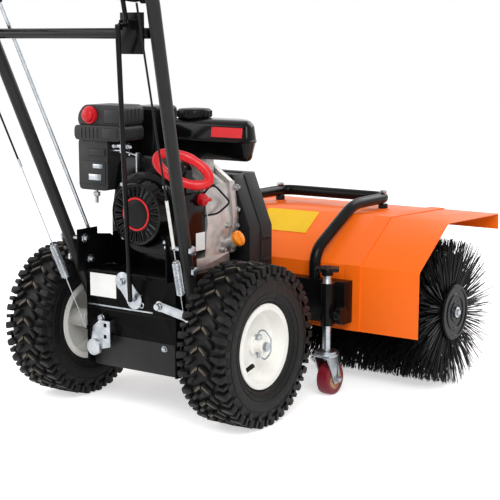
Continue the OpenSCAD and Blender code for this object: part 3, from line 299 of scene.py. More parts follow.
def round_outline(points, radius, steps=6):
    """Rounds each corner of a closed outline of (a, b) points."""
    out = []
    for i, point in enumerate(points):
        p = Vector(point)
        legs = [Vector(points[(i + k) % len(points)]) - p for k in (-1, 1)]
        r = min([radius] + [leg.length * 0.45 for leg in legs])
        a, c = (p + leg.normalized() * r for leg in legs)
        out += [tuple(q) for q in curve_points(a, p, c, steps)]
    return out


def offset_line(points, d, closed):
    """A line of (a, b) points moved to its left by d, which is inwards where it runs counter-clockwise."""
    line = [Vector(p) for p in points]
    left = [Vector((a.y - b.y, b.x - a.x)).normalized() for a, b in zip(line, line[1:] + line[:1])]
    if not closed:
        left[-1] = left[-2]
    before = [left[-1] if closed else left[0]] + left[:-1]
    return [tuple(p + (a + b) * d / (1 + a.dot(b))) for p, a, b in zip(line, before, left)]


def shell(rings, closed=False, base=True):
    """An edit mesh through rings of like numbers of points, with flat ends or closed to its first ring."""
    bm = bmesh.new()
    made = [[bm.verts.new(p) for p in ring] for ring in rings]
    for low, high in zip(made, made[1:]):
        skin(bm, low, high)
    if closed:
        gaps = [(v.co - made[0][0].co).length for v in made[-1]]
        turn = gaps.index(min(gaps))
        skin(bm, made[-1][turn:] + made[-1][:turn], made[0])
        return bm
    if base:
        bm.faces.new(made[0][::-1])
    bm.faces.new(made[-1])
    return bm


def tube(path, radius, sides, closed=False):
    """A round tube along a path; radius is one number in mm or one for each point."""
    n = len(path)
    radii = radius if isinstance(radius, list) else [radius] * n
    rings, side = [], None
    for i, p in enumerate(path):
        before = path[i - 1] if closed else path[max(i - 1, 0)]
        after = path[(i + 1) % n] if closed else path[min(i + 1, n - 1)]
        t = (after - before).normalized()
        if side is None:
            side = t.orthogonal().normalized()
        side = (side - t * side.dot(t)).normalized()
        rings.append(circle(p, radii[i], side, t.cross(side), sides))
    return from_bm(shell(rings, closed), False)


def frame_at(origin, axis):
    """Matrix that carries +Z to axis and the origin to a place."""
    return Matrix.Translation(origin) @ Vector(axis).to_track_quat("Z", "Y").to_matrix().to_4x4()


def lathe(profile, origin, axis, segments):
    """Turns a profile of (radius, height) in mm about an axis; it is closed where it meets the axis."""
    bm = bmesh.new()
    rings = [[bm.verts.new((mm(r) * math.cos(a), mm(r) * math.sin(a), mm(h))) for a in angles(segments)]
             for r, h in profile]
    for low, high in zip(rings, rings[1:]):
        skin(bm, low, high)
    bmesh.ops.remove_doubles(bm, verts=bm.verts, dist=1e-6)
    bmesh.ops.dissolve_degenerate(bm, edges=bm.edges, dist=1e-7)
    return moved(from_bm(bm), frame_at(origin, axis))


def rounded_box(size, bevel, segments, matrix=Matrix()):
    """A box of a size in mm, with rounded edges, centred where a matrix puts it."""
    bm = bmesh.new()
    bmesh.ops.create_cube(bm, size=1.0)
    bmesh.ops.scale(bm, vec=[mm(length) for length in size], verts=bm.verts)
    round_edges(bm, bm.edges[:], bevel, segments)
    return moved(from_bm(bm), matrix)


def block(low, high, bevel, segments):
    """A box between two corners in mm, with rounded edges."""
    middle = at(*((a + b) / 2 for a, b in zip(low, high)))
    size = [b - a for a, b in zip(low, high)]
    return rounded_box(size, bevel, segments, Matrix.Translation(middle))


def prism(outline, low, high, axis, bevel, segments):
    """An outline in mm pushed along Y (points are X Z) or X (points are Y Z), with rounded edges."""
    bm = shell([[at(p, d, z) if axis == "Y" else at(d, p, z) for p, z in outline] for d in (high, low)])
    round_edges(bm, bm.edges[:], bevel, segments)
    return from_bm(bm)


def hex_bolt(origin, axis, across, height, washer):
    """A bolt head with a chamfered hexagon on a washer."""
    r = across / 2 / math.cos(math.radians(30))
    bm = bmesh.new()
    bmesh.ops.create_cone(bm, cap_ends=True, segments=6, radius1=mm(r), radius2=mm(r), depth=mm(height))
    for v in bm.verts:
        v.co.z += mm(height / 2 + 1.4)
    top = [e for e in bm.edges if all(v.co.z > mm(height) for v in e.verts)]
    round_edges(bm, top, 0.9, 2, False)
    head = moved(from_bm(bm), frame_at(origin, axis))
    ring = lathe([(0, 0), (washer, 0), (washer, 1.1), (washer - 0.4, 1.5), (0, 1.5)], origin, axis, 32)
    return join([head, ring])


# Edges of a CAD solid that turn by more than this many degrees are rounded in its copy
ROUND_OVER = 38


def soften(node, width, segments=2, slot=None, angle=35.0):
    """A copy of a CAD node with rounded edges, which stands for the node."""
    bm = bmesh.new()
    bm.from_mesh(FRAME["nodes"][node].data)
    bmesh.ops.remove_doubles(bm, verts=bm.verts, dist=2e-6)
    bmesh.ops.dissolve_limit(bm, angle_limit=math.radians(0.6), verts=bm.verts, edges=bm.edges)
    edges = [e for e in bm.edges
             if len(e.link_faces) == 2 and e.calc_face_angle(0.0) > math.radians(ROUND_OVER)]
    round_edges(bm, edges, width, segments)
    piece(node + "_look", from_bm(bm, False), slot or NODE_SLOT[node], NODE_BODY[node], (node,), angle)


# A scale and a rotation that leave an item as it is
ONE = (1.0, 1.0, 1.0)
UPRIGHT = (0.0, 0.0, 0.0)


def repeat(name, item, places, slot, size=1.0):
    """Copies of an item mesh by geometry nodes, made into one plain mesh.
    Each place is a position, a rotation in radians and, where it isn't one, a scale."""
    rows = [(*place, ONE)[:3] for place in places]
    host_mesh = bpy.data.meshes.new(name + "_points")
    host_mesh.from_pydata([row[0] for row in rows], [], [])
    for key, index in (("turn", 1), ("size", 2)):
        attribute = host_mesh.attributes.new(key, "FLOAT_VECTOR", "POINT")
        attribute.data.foreach_set("vector", [c for row in rows for c in row[index]])
    host = into_scene(name + "_host", host_mesh)
    source = into_scene(name + "_item", item)
    group = bpy.data.node_groups.new(name + "_repeat", "GeometryNodeTree")
    keys = {}
    for label, kind in (("Points", "Geometry"), ("Item", "Object"), ("Item size", "Float"),
                        ("Finish", "Material")):
        socket = group.interface.new_socket(label, in_out="INPUT", socket_type="NodeSocket" + kind)
        keys[label] = socket.identifier
    group.interface.new_socket("Copies", in_out="OUTPUT", socket_type="NodeSocketGeometry")
    given = add_node(group, "NodeGroupInput", {}, {})
    shape = add_node(group, "GeometryNodeObjectInfo", {}, {"Object": given["Item"]})["Geometry"]
    points = add_node(group, "GeometryNodeMeshToPoints", {}, {"Mesh": given["Points"]})["Points"]
    vector = {"data_type": "FLOAT_VECTOR"}
    turn, each = (add_node(group, "GeometryNodeInputNamedAttribute", vector, {"Name": key})["Attribute"]
                  for key in ("turn", "size"))
    share = {0: each, "Scale": given["Item size"]}
    scale = add_node(group, "ShaderNodeVectorMath", {"operation": "SCALE"}, share)["Vector"]
    rotation = add_node(group, "FunctionNodeEulerToRotation", {}, {"Euler": turn})["Rotation"]
    spread = {"Points": points, "Instance": shape, "Rotation": rotation, "Scale": scale}
    copies = add_node(group, "GeometryNodeInstanceOnPoints", {}, spread)["Instances"]
    plain = add_node(group, "GeometryNodeRealizeInstances", {}, {"Geometry": copies})["Geometry"]
    finish = {"Geometry": plain, "Material": given["Finish"]}
    painted = add_node(group, "GeometryNodeSetMaterial", {}, finish)["Geometry"]
    add_node(group, "NodeGroupOutput", {}, {"Copies": painted})
    modifier = host.modifiers.new("Repeat", "NODES")
    modifier.node_group = group
    for label, value in (("Item", source), ("Item size", size), ("Finish", finish_of(slot))):
        modifier[keys[label]] = value
    graph = bpy.context.evaluated_depsgraph_get()
    graph.update()
    mesh = bpy.data.meshes.new_from_object(host.evaluated_get(graph), depsgraph=graph)
    if not mesh.polygons:
        raise RuntimeError("nothing was repeated for " + name)
    host.modifiers.remove(modifier)
    for obj in (host, source):
        bpy.data.objects.remove(obj)
    bpy.data.node_groups.remove(group)
    return mesh


def repeat_piece(name, item, places, slot, body):
    """A piece that is made of like items."""
    piece(name, repeat(name, item, places, slot), slot, body)


def turned_to(axis):
    return tuple(Vector(axis).to_track_quat("Z", "Y").to_euler())


def fasteners(name, rows, body, across, height, washer):
    """Like bolts on one body; each row is a place and the way its head faces."""
    item = hex_bolt(Vector(), Z, across, height, washer)
    repeat_piece(name, item, [(p, turned_to(d)) for p, d in rows], "zinc", body)


# Wheels

# Tread lugs of one half: outlines of (mm from the middle, degrees round the tyre) and their reach in mm
LUGS = (
    (((0.8, 3.6), (0.8, -0.2), (9, -2), (20, -5.2), (22.5, -3), (21, -0.8), (10, 1.6)), 168.6),
    (((0.8, 2.8), (0.8, 0.4), (9, -1.5), (17, -4.0), (18.5, -2.6), (10, 0.6)), 169.9),
    (((13, 6.4), (24, 3), (30, 1.2), (33, 3.2), (30, 5.2), (17, 8.6)), 168.6),
    (((27, -5.6), (40, -7.8), (54, -8.6), (55.5, -5.6), (54, -3.2), (40, -3), (29, -2.6)), 168.2),
    (((37, 0.6), (54, -0.4), (55.5, 2.6), (40, 3.4)), 166.8),
)
LUG_ROOT = 150.0
LUG_TOP_SHARE = 0.88
SIDE_KNOB = ((52.5, -4.6), (56, -4.2), (56, 1.2), (52.5, 1.6))
KNOB_ROOT, KNOB_REACH = 138.0, 153.0
# Radius and half width of the sidewall ribs
TYRE_RIBS = ((101, 51.0), (112, 54.6), (134, 55.2))
# From the machine's middle to each wheel's, and from there to its ring pin
TRACK = 235.0
PIN_OUT = 29.0
# Wire of a ring pin, as mm outwards from the pin and height
PIN_WIRE = ((0, 189), (0, 201), (15, 205), (31, 190), (31, 160), (16, 142), (8, 146))


def lug_item(outline, low, high):
    """A tread lug between two radii, a little narrower on top."""
    middle = sum((Vector(p) for p in outline), Vector((0, 0))) / len(outline)
    rings = []
    for r, share in ((low, 1.0), (high, LUG_TOP_SHARE)):
        spots = [middle + (Vector(p) - middle) * share for p in outline]
        turns = [(mm(x), math.radians(degrees)) for x, degrees in spots]
        rings.append([(x, mm(r) * math.sin(t), mm(r) * math.cos(t)) for x, t in turns])
    bm = shell(rings, base=False)
    top = set(bm.verts[:][-len(outline):])
    round_edges(bm, [e for e in bm.edges if top.issuperset(e.verts)], 0.8, 2, False)
    return from_bm(bm)


def tyre_mesh(side):
    """One snow tyre: carcass with sidewall ribs, chevron lugs and shoulder blocks."""
    half = [(79.6, 40.5), (90.5, 40.8), (93, 44), (97, 49), (106, 53.2), (118, 55.4), (131, 55.6), (141, 54),
            (149, 50), (154.5, 44), (157.5, 34), (158.8, 18), (159, 0)]
    profile = half + [(r, -x) for r, x in half[::-1][1:]] + half[:1]
    centre = at(side * TRACK, 0, AXLE_Z)
    parts = [lathe(profile, centre, X, 120)]
    parts += [tube(circle(centre + X * mm(way * out), r, Y, Z, 96), 1.3, 8, True)
              for way in (-1, 1) for r, out in TYRE_RIBS]
    places = [(centre, (a, 0.0, 0.0)) for a in angles(bpy.context.scene.sweeper.lug_count)]
    lugs = [(outline, LUG_ROOT, high) for outline, high in LUGS] + [(SIDE_KNOB, KNOB_ROOT, KNOB_REACH)]
    for flip in (1, -1):
        for outline, low, high in lugs:
            item = lug_item([(flip * x, a) for x, a in outline], low, high)
            parts.append(repeat("lugs", item, places, "tyre_rubber"))
    return join(parts)


def rim_mesh(side):
    """One pressed wheel: flanges, drop centre, dished disc and its hub tube."""
    barrel = [(76, -45), (88, -45), (89, -44), (89, -42.6), (80, -42.2), (79, -40), (77.5, -20), (74, -8),
              (74, 8), (77.5, 20), (79, 40), (80, 42.2), (89, 42.6), (89, 44), (88, 45), (76, 45), (75, 40),
              (72.5, 14), (66, 9.5), (56, 9), (46, 13), (34, 15.5)]
    hub = [(20, 15.5), (20, 23), (18.6, 24.4), (13.6, 24.4), (13.6, 44), (12.6, 45), (9.6, 45), (9.6, -45),
           (20, -45), (21, -44), (21, 7.5)]
    inner = [(34, 7.5), (46, 6), (56, 4), (66, 5), (72, 6), (72.5, -14), (75, -40), (76, -45)]
    return lathe(barrel + hub + inner, at(side * TRACK, 0, AXLE_Z), side * X, 96)


def build_wheels():
    """Snow tyres, pressed wheels, their valves and the ring pins that hold them on the axle."""
    piece("snow_tyres", join([tyre_mesh(-1), tyre_mesh(1)]), "tyre_rubber", "axle", ("tyres",), 32)
    piece("wheel_discs", join([rim_mesh(-1), rim_mesh(1)]), "cream_paint", "axle", ("rims",), 32)
    valve = [(0, 0), (5.6, 0), (5.6, 4), (4.4, 6), (4.4, 32), (4.7, 32.4), (4.7, 41), (4, 42), (0, 42)]
    head = [(0, 0), (6.6, 0), (7.2, 0.6), (7.2, 9), (6.6, 9.6), (0, 9.6)]
    valves, pins = [], []
    for side in (-1, 1):
        stem = at(side * (TRACK + 10), -46, AXLE_Z - 59)
        valves.append(lathe(valve, stem, (side * 0.62, 0.25, 0.55), 24))
        x = side * (TRACK + PIN_OUT)
        pins.append(tube([at(x, 0, 145), at(x, 0, 191)], 4.0, 20))
        pins.append(lathe(head, at(x, 0, 184), Z, 28))
        wire = [at(x + side * out, 0, z) for out, z in PIN_WIRE]
        pins.append(tube(bend(wire, 0.007, 6), 1.7, 10))
    piece("tyre_valves", join(valves), "soft_rubber", "axle")
    piece("ring_pins", join(pins), "zinc", "axle", ("wheel_linchpins",))


# Chassis, handle and controls

# Lower end of the right handle tube, how it leans for each mm up, and the heights of its levers and bend
FOOT = (136.0, -52.0, 236.0)
LEAN = (0.138, -0.364)
LEVER_Z, BEND_Z = 862, 885
# The grips run back from the bend: share of each axis, with X outwards, and their reach in metres
GRIP_WAY = (0.102, -0.968, 0.23)
GRIP_REACH = 0.240
# Rubber of a grip along its tube, in mm from the tube's end, and the steps that it is drawn in
GRIP_FROM, GRIP_LEN, GRIP_STEPS = -130, 134, 90
# Radii of its sleeve, its end collars and its tip, and the height of its ridges
GRIP_R, COLLAR_R, TIP_R, GRIP_RIDGE = 15.6, 17, 14, 0.9
# The sleeve lies between these places along the grip, and its ridges between those
SLEEVE, RIDGED = (-122, -2), (-112, -8)
# Back face of the rear panel
PANEL_Y = -90.0
# Pressed folds stand only this proud, in mm, because the shift arm swings close over them
FOLD_PROUD = 0.3


def on_handle(z, side):
    return at(side * (FOOT[0] + LEAN[0] * (z - FOOT[2])), FOOT[1] + LEAN[1] * (z - FOOT[2]), z)


def grip_way(side):
    return Vector((side * GRIP_WAY[0], *GRIP_WAY[1:]))


def grip_end(side):
    return on_handle(BEND_Z, side) + grip_way(side) * GRIP_REACH


def build_chassis():
    """Folded steel chassis, its rear panel with a blank plate and pressed ridges, and its bolts."""
    width = bpy.context.scene.sweeper.edge_round * 1000
    for slot, nodes in ((None, ("guide_bracket", "shift_arm", "brush_arm")),
                        ("chassis_enamel", ("chassis_frame", "drive_arm")),
                        ("satin_paint", ("bottom_cover",))):
        for node in nodes:
            soften(node, width, slot=slot)
    clip = tube(circle(at(40.6, -102.4, 245), 5.5, X, Z, 32), 1.2, 10, True)
    piece("shift_arm_clip", clip, "zinc", NODE_BODY["shift_arm"])
    rows = [(at(side * 121, y, 280), side * X) for side in (-1, 1) for y in (-70, 60)]
    rows += [(at(x, -86.4, 156), (0, -1, -0.27)) for x in (-88, 88)]
    fasteners("chassis_bolts", rows, "chassis", 10, 4, 7)
    rows = [(at(x, -98.6, z), -Y) for x, z in ((-16, 288), (81, 246), (-72, 204))]
    fasteners("arm_bolts", rows, "chassis", 13, 5, 7.8)

    def fold(right, low, high):
        return block((-116, PANEL_Y - FOLD_PROUD, low), (right, PANEL_Y + 0.6, high), 0.25, 2)

    ridges = [fold(116, z - 1.2, z + 1.2) for z in (222, 304)]
    piece("panel_ridges", join(ridges), "black_paint", "chassis")
    # Painted highlight: a bright zinc strip along the lower fold stands in for the light that the fold's
    # glossy black paint catches
    piece("panel_fold_edge", fold(60, 227.4, 230.6), "zinc", "chassis")
    outline = [(-88, 306.5), (-4, 306.5), (-4, 364), (-14, 372), (-78, 380), (-88, 374)]
    ear = prism(outline, -118.3, -116.1, "X", 0.8, 2)
    piece("left_side_upstand", ear, "chassis_enamel", "chassis")
    plate = block((-110, PANEL_Y - 0.4, 248), (-38, PANEL_Y - 0.05, 298), 0.15, 1)
    piece("rear_panel_plate", plate, "white_film", "chassis")


def build_handle():
    """Bent handle tubes with their bolts, the console bar and ribbed grips."""
    grips = []
    for side, word in SIDES:
        end = grip_end(side)
        path = bend([on_handle(FOOT[2], side), on_handle(BEND_Z, side), end], 0.040, 14)
        lever = on_handle(LEVER_Z, side)
        stub = [lever, lever - X * mm(51 if side < 0 else 29.5)]
        bars = join([tube(path, 13, 32), tube(stub, 4, 16)])
        piece("handle_tube_" + word, bars, "satin_paint", "chassis", ("handle_" + word,))
        spots = [GRIP_FROM + GRIP_LEN * k / GRIP_STEPS for k in range(GRIP_STEPS + 1)]
        radii = []
        for k, s in enumerate(spots):
            ridge = GRIP_RIDGE if RIDGED[0] < s < RIDGED[1] and k % 4 < 2 else 0.0
            radii.append(GRIP_R + ridge if SLEEVE[0] <= s <= SLEEVE[1] else COLLAR_R)
        radii[-1] = TIP_R
        way = grip_way(side).normalized()
        grips.append(tube([end + way * mm(s) for s in spots], radii, 40))
    soften("handle_bolts", 0.7)
    soften("console", 0.7)
    piece("ribbed_grips", join(grips), "soft_rubber", "chassis", ("grips",), 50)


# Clutch springs: radius of the coil, of its wire, length of the coil, and straight wire past each end
COIL_R, COIL_WIRE, COIL_LEN = 7.2, 1.3, 78.0
RUN_IN, END_WIRE = 8, 25.6
# Steps in a curl, and how steeply the coil widens from the axis at its ends
CURL_STEPS, WIDENING = 20, 24


def spring_wire(low, top, hook, curls=26, coil=COIL_R, wire=COIL_WIRE, length=COIL_LEN):
    """A tension spring with straight ends that run in to the axis."""
    d = (top - low).normalized()
    u = d.cross(X).normalized()
    v = d.cross(u)
    points = [low, low + d * mm(hook - RUN_IN)]
    for i in range(curls * CURL_STEPS + 1):
        t = i / (curls * CURL_STEPS)
        r = coil * min(1.0, WIDENING * t + 0.1, WIDENING * (1 - t) + 0.1)
        a = 2 * math.pi * curls * t
        points.append(low + d * mm(hook + length * t) + mm(r) * (math.cos(a) * u + math.sin(a) * v))
    points += [low + d * mm(hook + length + end) for end in (RUN_IN, END_WIRE)]
    return tube(points, wire, 10)


# Name, lower end, side, place of the lever's hub beside the handle, and straight wire below the coil
CABLES = (("drive", (-113.5, -102.4, 178.0), -1, -41.0, 118.0),
          ("brush", (152.0, -102.4, 232.0), 1, -19.5, 52.0))
# Y and Z of the cables' upper ends, their radius, and the wire between them and the coils
CABLE_TOP = (-301, 854)
CABLE_R, CABLE_GAP = 2.1, 26
# Pivot and top of the shift lever, and both ends of the swivel rod
SHIFT_PIVOT, SHIFT_TOP = (165, -284, 815), (165, -310, 930)
ROD_LOW, ROD_HIGH = (-125.4, -60, 360), (-178, -274, 880)


def build_controls():
    """Clutch springs and cables, squeeze levers, the shift lever with its rod and the swivel rod."""
    cables, bare, sleeves = [], [], []
    for name, low, side, offset, hook in CABLES:
        start, top = at(*low), at(0, *CABLE_TOP)
        top.x = on_handle(LEVER_Z, side).x + mm(offset)
        d = (top - start).normalized()

        def past(length):
            """A place on the cable, in mm past the spring."""
            return start + d * mm(hook + COIL_LEN + CABLE_GAP + length)

        coil = spring_wire(start, top, hook)
        piece(name + "_clutch_spring", coil, "zinc", "chassis", (name + "_spring",), 60)
        if side > 0:
            cables.append(tube([past(0), top], CABLE_R, 14))
            sleeves.append(lathe([(2.2, 0), (3.2, 0.6), (3.2, 103), (2.2, 104)], past(2), d, 20))
        else:
            bare.append(tube([past(0), past(160)], 1.2, 12))
            bare.append(lathe([(0, 0), (3.2, 0), (3.2, 16), (2.6, 18), (0, 18)], past(150), d, 20))
            cables.append(tube([past(152), top], CABLE_R, 14))
    piece("clutch_cables", join(cables), "black_plastic", "chassis", ("control_cables",))
    piece("cable_wire", join(bare), "zinc", "chassis")
    piece("cable_sleeve", join(sleeves), "white_sleeve", "chassis")
    ring = [(4.05, -5), (8.6, -5), (9, -4.6), (9, 4.6), (8.6, 5), (4.05, 5), (4.05, -5)]
    ball = [(0, -6.5), (4, -5.5), (6.4, -2), (6.4, 2), (4, 5.5), (0, 6.5)]
    for name, _, side, offset, _ in CABLES:
        pivot = on_handle(LEVER_Z, side)
        hub = pivot + X * mm(offset)
        tip = Vector((grip_end(side).x - side * mm(13), pivot.y - mm(225), pivot.z + mm(8)))
        path = bend([hub - Y * mm(7), hub + Vector((0, mm(-25), mm(-3))), tip], 0.010, 8)
        parts = [tube(path, 4.5, 16), lathe(ring, hub, X, 32), lathe(ball, tip, Y, 24)]
        node = name + "_lever"
        piece("squeeze_" + node, join(parts), "black_paint", node, (node,))
    soften("shift_rod", 0.5)
    pivot, top = at(*SHIFT_PIVOT), at(*SHIFT_TOP)
    arm = tube([pivot + (top - pivot).normalized() * mm(7), top], 4.5, 20)
    hook = tube([pivot - Y * mm(7), pivot - Y * mm(20.6)], 4.4, 16)
    lever = join([lathe(ring, pivot, X, 32), arm, hook])
    piece("shift_lever_arm", lever, "black_paint", "shift_lever", ("shift_lever",))
    knob = [(0, 15.6), (6, 14.8), (11, 11.4), (14.6, 6), (15.6, 0), (14.4, -6.4), (10.4, -11.6), (6.4, -14.8),
            (6, -22), (0, -22)]
    piece("shift_lever_knob", lathe(knob, top, top - pivot, 40), "black_plastic", "shift_lever")
    low, high = at(*ROD_LOW), at(*ROD_HIGH)
    piece("swivel_rod_bar", tube([low, high], 4, 20), "zinc", "swivel_rod", ("swivel_rod",))
    knob = [(0, 14), (5.4, 13), (10, 9.8), (13.2, 5), (14, 0), (13, -5.6), (9.2, -10.6), (6, -13), (5.6, -20),
            (0, -20)]
    piece("swivel_rod_knob", lathe(knob, high, high - low, 36), "black_plastic", "swivel_rod")


# Engine

# Crankshaft as X Z, back face of the recoil cover, the crankcase's right face and the bolts there as Y Z
CRANK = (8.0, 430.0)
RECOIL_Y = -76.0
CASE_X = 104.0
CASE_SPOTS = ((153, 471), (153, 422), (118, 391), (153, 387), (103, 340))


def build_engine():
    """Crankcase, fan shroud and recoil start, and the pieces that stand on them."""
    soften("crankcase", 1.6, 3)
    places = [(at(-79, 60.5 + 15 * k, 434), UPRIGHT) for k in range(5)]
    repeat_piece("case_fins", rounded_box((10, 5, 72), 1.2, 2), places, "cast_aluminium", "chassis")
    rows = [(at(CASE_X, y, z), X) for y, z in CASE_SPOTS]
    boss = lathe([(0, -18), (7.5, -18), (6.6, 0), (0, 0)], Vector(), Z, 28)
    repeat_piece("case_bosses", boss, [(p, turned_to(d)) for p, d in rows], "cast_aluminium", "chassis")
    fasteners("case_bolts", rows, "chassis", 8, 4, 5.6)
    spots = circle(at(CRANK[0], -50, CRANK[1]), 80, X, Z, 4, math.pi / 4)
    fasteners("recoil_bolts", [(p, -Y) for p in spots], "chassis", 8, 4, 5)
    outline = [(-114, 306.2), (100, 306.2), (100, 346), (8, 346), (-30, 356), (-58, 380), (-75, 424),
               (-75, 440), (-66, 470), (-44, 496), (-8, 511), (40, 508), (62, 494), (80, 468), (90, 468),
               (90, 524), (66, 546), (-58, 546), (-92, 528), (-105, 460), (-112, 424)]
    housing = prism(round_outline(outline, 8, 4), -12, 9.6, "Y", 2, 3)
    piece("blower_housing", housing, "gloss_black", "chassis")
    soften("fan_shroud", 1.6, 3, slot="gloss_black")
    piece("shroud_plate", block((96.05, 12, 348), (96.8, 44, 386), 0.3, 1), "white_film", "chassis")
    wire = [at(95, 43.5, 468), at(108, 46, 484), at(114, 56, 485), at(114, 112, 443), at(112, 69, 423),
            at(95, 43, 420)]
    piece("stop_wire", tube(bend(wire, 0.012, 8), 2.2, 14), "black_plastic", "chassis")
    build_recoil()
    build_tank()
    build_air_box()
    soften("carburettor", 1.2)
    rod = bend([at(-107, -20, 553), at(-75, -20, 554), at(-31, -20, 545)], 0.008, 5)
    link = [tube(rod, 2.0, 14), block((-34, -25, 503), (-30.5, -13, 552), 1.0, 2),
            block((-78, -25, 549), (-66, -22, 568), 1.0, 2),
            block((-104, -24, 560), (-46, -21.6, 566), 0.8, 2),
            spring_wire(at(-104, -18, 546), at(-30, -18, 538), 8, 18, 2.6, 0.7, 40),
            hex_bolt(at(-58, -24, 563), -Y, 8, 4, 5), hex_bolt(at(-92, -24, 563), -Y, 7, 3, 4.4)]
    piece("throttle_link", join(link), "zinc", "chassis")
    muffler = block((-134, 66, 532), (-54, 150, 644), 9, 5)
    piece("muffler_body", muffler, "black_paint", "chassis", ("muffler",))
    places = [(at(-136.2, 108, 551 + 13 * k), UPRIGHT) for k in range(7)]
    repeat_piece("muffler_guard", rounded_box((3.5, 92, 6), 1.0, 2), places, "black_paint", "chassis")
    d = Vector((2, 0, 1)).normalized()
    foot = at(124, 120, 362)
    cap = lathe([(0, 13), (9, 13), (14.5, 12), (17, 9.5), (17, 2), (16, 0.4), (0, 0.4)], foot, d, 48)
    bar = rounded_box((7, 28, 7), 2.4, 4, frame_at(foot + d * mm(13), d))
    piece("oil_filler_cap", join([cap, bar]), "orange_plastic", "oil_cap", ("oil_cap",))
    switch = lathe([(0, 13), (9, 13), (12, 11.4), (13, 9), (13, 0.4), (0, 0.4)], at(96, 30, 456), X, 40)
    lever = block((104, 14, 452), (115, 46, 460), 2.6, 4)
    piece("stop_knob", join([switch, lever]), "red_plastic", "stop_switch", ("stop_switch",))


# Louvres of the recoil cover: how many, the radius they stand on and their slant in radians
LOUVRES, LOUVRE_R, LOUVRE_TILT = 24, 48.5, 0.5
# Starter loop: its middle, half its length and width in mm, how flat its section is, and steps round it
LOOP_AT, LOOP_LONG, LOOP_WIDE, LOOP_FLAT, LOOP_STEPS = (121, -62, 529), 57, 25, 0.72, 120
# Radius of the loop's section, and how far the finger scallops raise it
LOOP_R, SCALLOP = 9.8, 0.55
# Where the rope leaves the recoil cover: degrees round the crankshaft, radius and Y; and steps along it
ROPE_TURN, ROPE_R, ROPE_Y, ROPE_STEPS = 56, 88.15, -43, 60


def build_recoil():
    """Recoil cover with slanted louvres, a red ring round a plain dark centre, and the starter loop."""
    soften("recoil_cover", 1.2, slot="gloss_black")
    origin = at(CRANK[0], RECOIL_Y, CRANK[1])
    tilt = Euler((0.0, 0.0, LOUVRE_TILT)).to_matrix().to_4x4()
    half = math.pi / LOUVRES
    spots = zip(circle(origin, LOUVRE_R, Z, X, LOUVRES, half), angles(LOUVRES, half))
    blade = rounded_box((2.2, 5.6, 21), 0.8, 2, tilt)
    repeat_piece("recoil_louvres", blade, [(p, (0, a, 0)) for p, a in spots], "gloss_black", "chassis")
    for name, slot, segments, profile in (
        ("ring", "red_plastic", 80, [(31, -0.6), (31, 1.6), (31.6, 2.4), (34.4, 2.4), (35, 1.6), (35, -0.6)]),
        ("centre", "black_plastic", 64, [(0, 2.6), (20, 2.4), (28, 1.8), (30, 1.0), (30.4, -0.6)]),
        ("rim", "gloss_black", 96, [(61, -0.6), (61.6, 1.4), (63, 1.8), (65, 0.4), (66, -2.6)]),
    ):
        piece("recoil_" + name, lathe(profile, origin, -Y, segments), slot, "chassis")
    u = Vector((0.78, 0.47, -0.41)).normalized()
    v = Vector((-0.56, 0.81, -0.16)).cross(u).normalized()
    middle = at(*LOOP_AT)
    loop = circle(middle, 1, LOOP_LONG * u, LOOP_WIDE * v, LOOP_STEPS)
    radii = [LOOP_R + SCALLOP * math.cos(8 * a) * math.sin(a) ** 2 for a in angles(LOOP_STEPS)]
    flat = Matrix.Translation(middle) @ Matrix.Scale(LOOP_FLAT, 4, u.cross(v)) @ Matrix.Translation(-middle)
    handle = moved(tube(loop, radii, 24, True), flat)
    piece("starter_handle", handle, "red_plastic", "starter_grip", ("starter_grip",), 60)
    turn = math.radians(ROPE_TURN)
    end = at(CRANK[0] + ROPE_R * math.cos(turn), ROPE_Y, CRANK[1] + ROPE_R * math.sin(turn))
    eye = middle - u * mm(LOOP_LONG)
    rope = tube([end.lerp(eye, k / ROPE_STEPS) for k in range(ROPE_STEPS + 1)], 2.4, 12)
    rope = piece("starter_rope", rope, "black_plastic", None)
    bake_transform(rope)


# Outlines of the tank and of its seam lip from above, the foot of its cap, and the cap's radius and ribs
TANK_PLAN = ((-44, 80), (182, 80), (182, 112.8), (136.3, 172), (-44, 172))
LIP_PLAN = ((-52, 72), (190, 72), (190, 102.4), (130.2, 180), (-52, 180))
CAP_AT = (10, 124, 620.4)
CAP_R, CAP_RIBS = 37.4, 24


def build_tank():
    """Two-part tank with its seam lip, ribbed cap and a plain red bar."""

    def moulding(plan, radius, levels):
        """A skin through levels, each a height and how far the outline is drawn in there."""
        plans = [(z, round_outline(offset_line(plan, d, True), radius)) for z, d in levels]
        return from_bm(shell([[at(x, y, z) for x, y in outline] for z, outline in plans]))

    parts = [moulding(TANK_PLAN, 20, ((534, 17), (536, 12.5), (541, 9), (550, 7), (577, 0))),
             moulding(TANK_PLAN, 20, ((577, 0), (606, 4), (612, 7), (616, 11), (619, 17), (620, 24))),
             moulding(LIP_PLAN, 22, ((574.6, 1.2), (575.4, 0), (578.6, 0), (579.4, 1.2))),
             lathe([(0, 0), (27, 0), (27, 20), (0, 20)], at(*CAP_AT[:2], 600), Z, 48)]
    piece("tank_halves", join(parts), "gloss_black", "chassis", ("fuel_tank",))
    origin = at(*CAP_AT)
    profile = [(0, 20), (24, 20), (33, 19), (36, 17), (CAP_R, 14), (37.8, 3), (37, 1), (35, 0), (0, 0)]
    rib = tube([Z * mm(2), Z * mm(15)], 1.6, 8)
    spots = zip(circle(origin, CAP_R, X, Y, CAP_RIBS), angles(CAP_RIBS))
    ribs = repeat("cap_ribs", rib, [(p, (0, 0, a)) for p, a in spots], "black_plastic")
    cap = join([lathe(profile, origin, Z, 72), ribs])
    piece("tank_cap", cap, "black_plastic", "fuel_cap", ("fuel_cap",))
    bar = prism([(80.2, 584), (83.1, 605), (84.4, 605), (81.5, 584)], 86, 166, "X", 0.2, 1)
    piece("tank_bar", bar, "red_plastic", "chassis")


